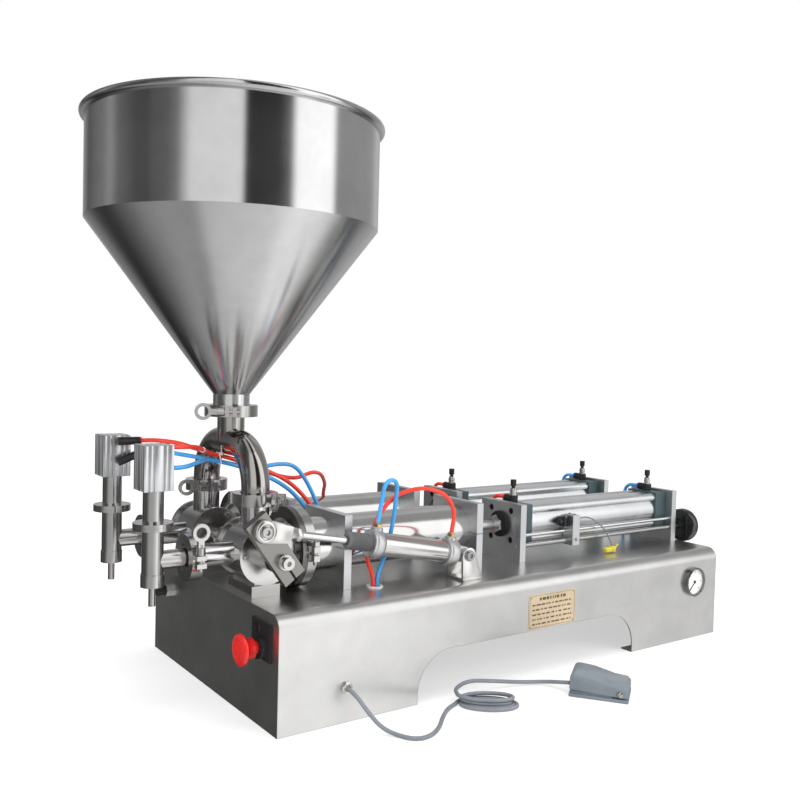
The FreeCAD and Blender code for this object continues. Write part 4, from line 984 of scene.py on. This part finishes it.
solid("bracket_cheeks", build_bracket, "bright_turned", ROOT, ("lever_cylinder_bracket",), 0.0005)
solid("bracket_bolt", build_bracket_bolt, "zinc_screw", ROOT, ("lever_cylinder_bracket",))

# ------------------------------------------------------------------ lever cylinder's air hoses
LEVER_BLUE = [
    (-259, -161, 243.8), (-248.2, -161, 300.6), (-221, -152, 299), (-219, -141, 240),
    (-229, -137, 192), (-244.8, -141, 165), (-244.8, -141, 138),
]
LEVER_RED = [
    (-130.3, -161, 219.3), (-124.6, -161, 249.5), (-140, -158, 275), (-178, -151, 287),
    (-219, -139, 275), (-242, -134, 246), (-255, -133, 214), (-258, -134, 188),
    (-251.2, -141, 165), (-251.2, -141, 138),
]


def rounded(points, share=0.45, steps=8):
    """A chain of points with each corner turned into a tangent arc."""
    spots = [Vector(p) for p in points]
    path = [spots[0]]
    for before, corner, after in zip(spots, spots[1:], spots[2:]):
        into, away = corner - before, after - corner
        trim = share * min(into.length, away.length)
        into.normalize()
        away.normalize()
        half = into.angle(away) / 2
        centre = corner + (away - into).normalized() * (trim / math.tan(half) / math.cos(half))
        first = corner - into * trim - centre
        for i in range(steps + 1):
            part = first.copy()
            part.rotate(Matrix.Rotation(2 * half * i / steps, 3, into.cross(away)))
            path.append(centre + part)
    path.append(spots[-1])
    return path


def bending_hose(name, points, finish, node):
    """A hose swept along the rounded points, fixed in place and attached to no body."""
    bm = bmesh.new()
    bent_rod(bm, rounded(in_metres(points)), 0.003, 16)
    bmesh.ops.recalc_face_normals(bm, faces=bm.faces)
    mesh = bpy.data.meshes.new(name)
    bm.to_mesh(mesh)
    bm.free()
    hose = add(name, mesh, finish, None, (node,))
    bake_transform(hose)


bending_hose("lever_blue", LEVER_BLUE, "blue_hose", "lever_hose_blue")
bending_hose("lever_red", LEVER_RED, "red_hose", "lever_hose_red")

# ------------------------------------------------------------------ hub nut of the lever
lever_low, _, _ = span("valve_lever")
LEVER_HUB = (-0.404, lever_low.y, AXIS)


def build_hub(bm):
    hub = [(0.0081, 0.0), (0.0105, 0.0), (0.0105, 0.0040), (0.0095, 0.0052), (0.0081, 0.0052)]
    lathe(bm, hub, LEVER_HUB, (0, -1, 0), 48)


solid("lever_hub", build_hub, "bright_turned", "valve_shaft")

# ------------------------------------------------------------------ stage and light
# Grey of what polished metal mirrors, round the compass: over the horizon, under it, and steeply down.
CARDS_ABOVE = [
    (0.004, 0.11), (0.040, 0.13), (0.062, 0.22), (0.090, 0.86), (0.194, 0.96), (0.203, 0.02),
    (0.272, 0.03), (0.296, 0.14), (0.312, 1.35), (0.398, 1.50), (0.414, 0.34), (0.550, 0.36),
    (0.590, 0.55), (0.640, 0.42), (0.670, 0.62), (0.790, 0.10), (0.865, 0.22), (0.890, 0.34),
    (0.915, 0.16), (0.965, 0.08),
]
CARDS_BELOW = [
    (0.000, 0.12), (0.085, 0.50), (0.194, 0.56), (0.290, 1.05), (0.325, 1.55), (0.338, 1.50),
    (0.352, 1.00), (0.368, 0.46), (0.378, 0.55), (0.385, 1.25), (0.391, 0.80), (0.405, 0.85),
    (0.430, 0.40), (0.460, 0.10), (0.600, 0.45), (0.770, 0.20), (0.800, 0.075), (0.822, 0.045),
    (0.850, 0.06), (0.900, 0.10),
]
CARDS_UNDER = [
    (0.010, 0.34), (0.050, 0.34), (0.080, 0.62), (0.290, 0.78), (0.330, 0.82), (0.362, 1.05),
    (0.445, 0.98), (0.462, 0.70), (0.488, 0.18), (0.540, 0.10), (0.800, 0.02), (0.842, 0.05),
    (0.884, 0.15), (0.930, 0.30), (0.965, 0.36),
]
HORIZON = (-0.12, 0.0)
STEEP = (-0.46, -0.36)
ROOM_GLOW = 0.98


def studio():
    """White room for the eye and soft light; polished metal mirrors a ring of pale and dark cards."""
    world = bpy.data.worlds.new("studio")
    bpy.context.scene.world = world
    world.use_nodes = True
    tree = world.node_tree
    tree.nodes.clear()
    out = tree.nodes.new("ShaderNodeOutputWorld")
    coords = tree.nodes.new("ShaderNodeTexCoord")
    split = tree.nodes.new("ShaderNodeSeparateXYZ")
    link(tree, coords.outputs["Generated"], split.inputs[0])
    compass = tree.nodes.new("ShaderNodeTexGradient")
    compass.gradient_type = "RADIAL"
    link(tree, coords.outputs["Generated"], compass.inputs["Vector"])
    around = compass.outputs["Fac"]
    above, below, under = (
        grey_ramp(tree, around, stops) for stops in (CARDS_ABOVE, CARDS_BELOW, CARDS_UNDER)
    )

    def by_height(heights, lower, upper):
        spread = tree.nodes.new("ShaderNodeMapRange")
        spread.inputs["From Min"].default_value = heights[0]
        spread.inputs["From Max"].default_value = heights[1]
        link(tree, split.outputs["Z"], spread.inputs["Value"])
        mixed = tree.nodes.new("ShaderNodeMix")
        mixed.data_type = "RGBA"
        link(tree, spread.outputs["Result"], mixed.inputs["Factor"])
        link(tree, lower, mixed.inputs["A"])
        link(tree, upper, mixed.inputs["B"])
        return mixed.outputs["Result"]

    tinted = by_height(HORIZON, by_height(STEEP, under, below), above)
    mirror = tree.nodes.new("ShaderNodeBackground")
    link(tree, tinted, mirror.inputs["Color"])
    plain = tree.nodes.new("ShaderNodeBackground")
    plain.inputs["Color"].default_value = (1, 1, 1, 1)
    plain.inputs["Strength"].default_value = ROOM_GLOW
    white = tree.nodes.new("ShaderNodeBackground")
    white.inputs["Color"].default_value = (1, 1, 1, 1)
    white.inputs["Strength"].default_value = 1.0
    path = tree.nodes.new("ShaderNodeLightPath")
    first = tree.nodes.new("ShaderNodeMixShader")
    second = tree.nodes.new("ShaderNodeMixShader")
    link(tree, path.outputs["Is Glossy Ray"], first.inputs["Fac"])
    link(tree, plain.outputs[0], first.inputs[1])
    link(tree, mirror.outputs[0], first.inputs[2])
    link(tree, path.outputs["Is Camera Ray"], second.inputs["Fac"])
    link(tree, first.outputs[0], second.inputs[1])
    link(tree, white.outputs[0], second.inputs[2])
    link(tree, second.outputs[0], out.inputs["Surface"])


def lamp(name, place, aim, size, watts):
    data = bpy.data.lights.new(name, "AREA")
    data.shape = "RECTANGLE"
    data.size, data.size_y = size
    data.energy = watts
    thing = bpy.data.objects.new(name, data)
    bpy.context.collection.objects.link(thing)
    thing.location = place
    thing.rotation_euler = (Vector(aim) - Vector(place)).to_track_quat("-Z", "Y").to_euler()
    thing.visible_glossy = False


studio()
lamp("top", (-0.3, -0.5, 2.6), (-0.05, 0, 0.2), (2.2, 1.6), 30)
lamp("front", (0.9, -2.2, 1.3), (0.0, 0, 0.3), (1.6, 1.2), 20)
lamp("left", (-2.2, -0.8, 1.2), (-0.3, 0, 0.3), (1.0, 1.4), 9)

paper, paper_tree, paper_shader = new_material("paper")
tooth = grain(paper_tree, 60, 4)
paper_tone = grey_ramp(paper_tree, tooth, [(0.3, 0.52), (0.7, 0.54)])
link(paper_tree, paper_tone, paper_shader.inputs["Base Color"])
paper_shader.inputs["Roughness"].default_value = 0.9
paper_shader.inputs["Specular IOR Level"].default_value = 0.1
paper_shader.inputs["Emission Color"].default_value = (1, 1, 1, 1)
paper_shader.inputs["Emission Strength"].default_value = 0.52
floor_mesh = bpy.data.meshes.new("floor")
FLOOR_REACH = 14
FLOOR_ROUND = ((-1, -1), (1, -1), (1, 1), (-1, 1))
floor_corners = [(u * FLOOR_REACH, v * FLOOR_REACH, 0) for u, v in FLOOR_ROUND]
floor_mesh.from_pydata(floor_corners, [], [(0, 1, 2, 3)])
floor = bpy.data.objects.new("floor", floor_mesh)
bpy.context.collection.objects.link(floor)
floor.data.materials.append(paper)
floor.visible_glossy = False
view_settings = bpy.context.scene.view_settings
view_settings.view_transform = "Standard"
view_settings.look = "None"
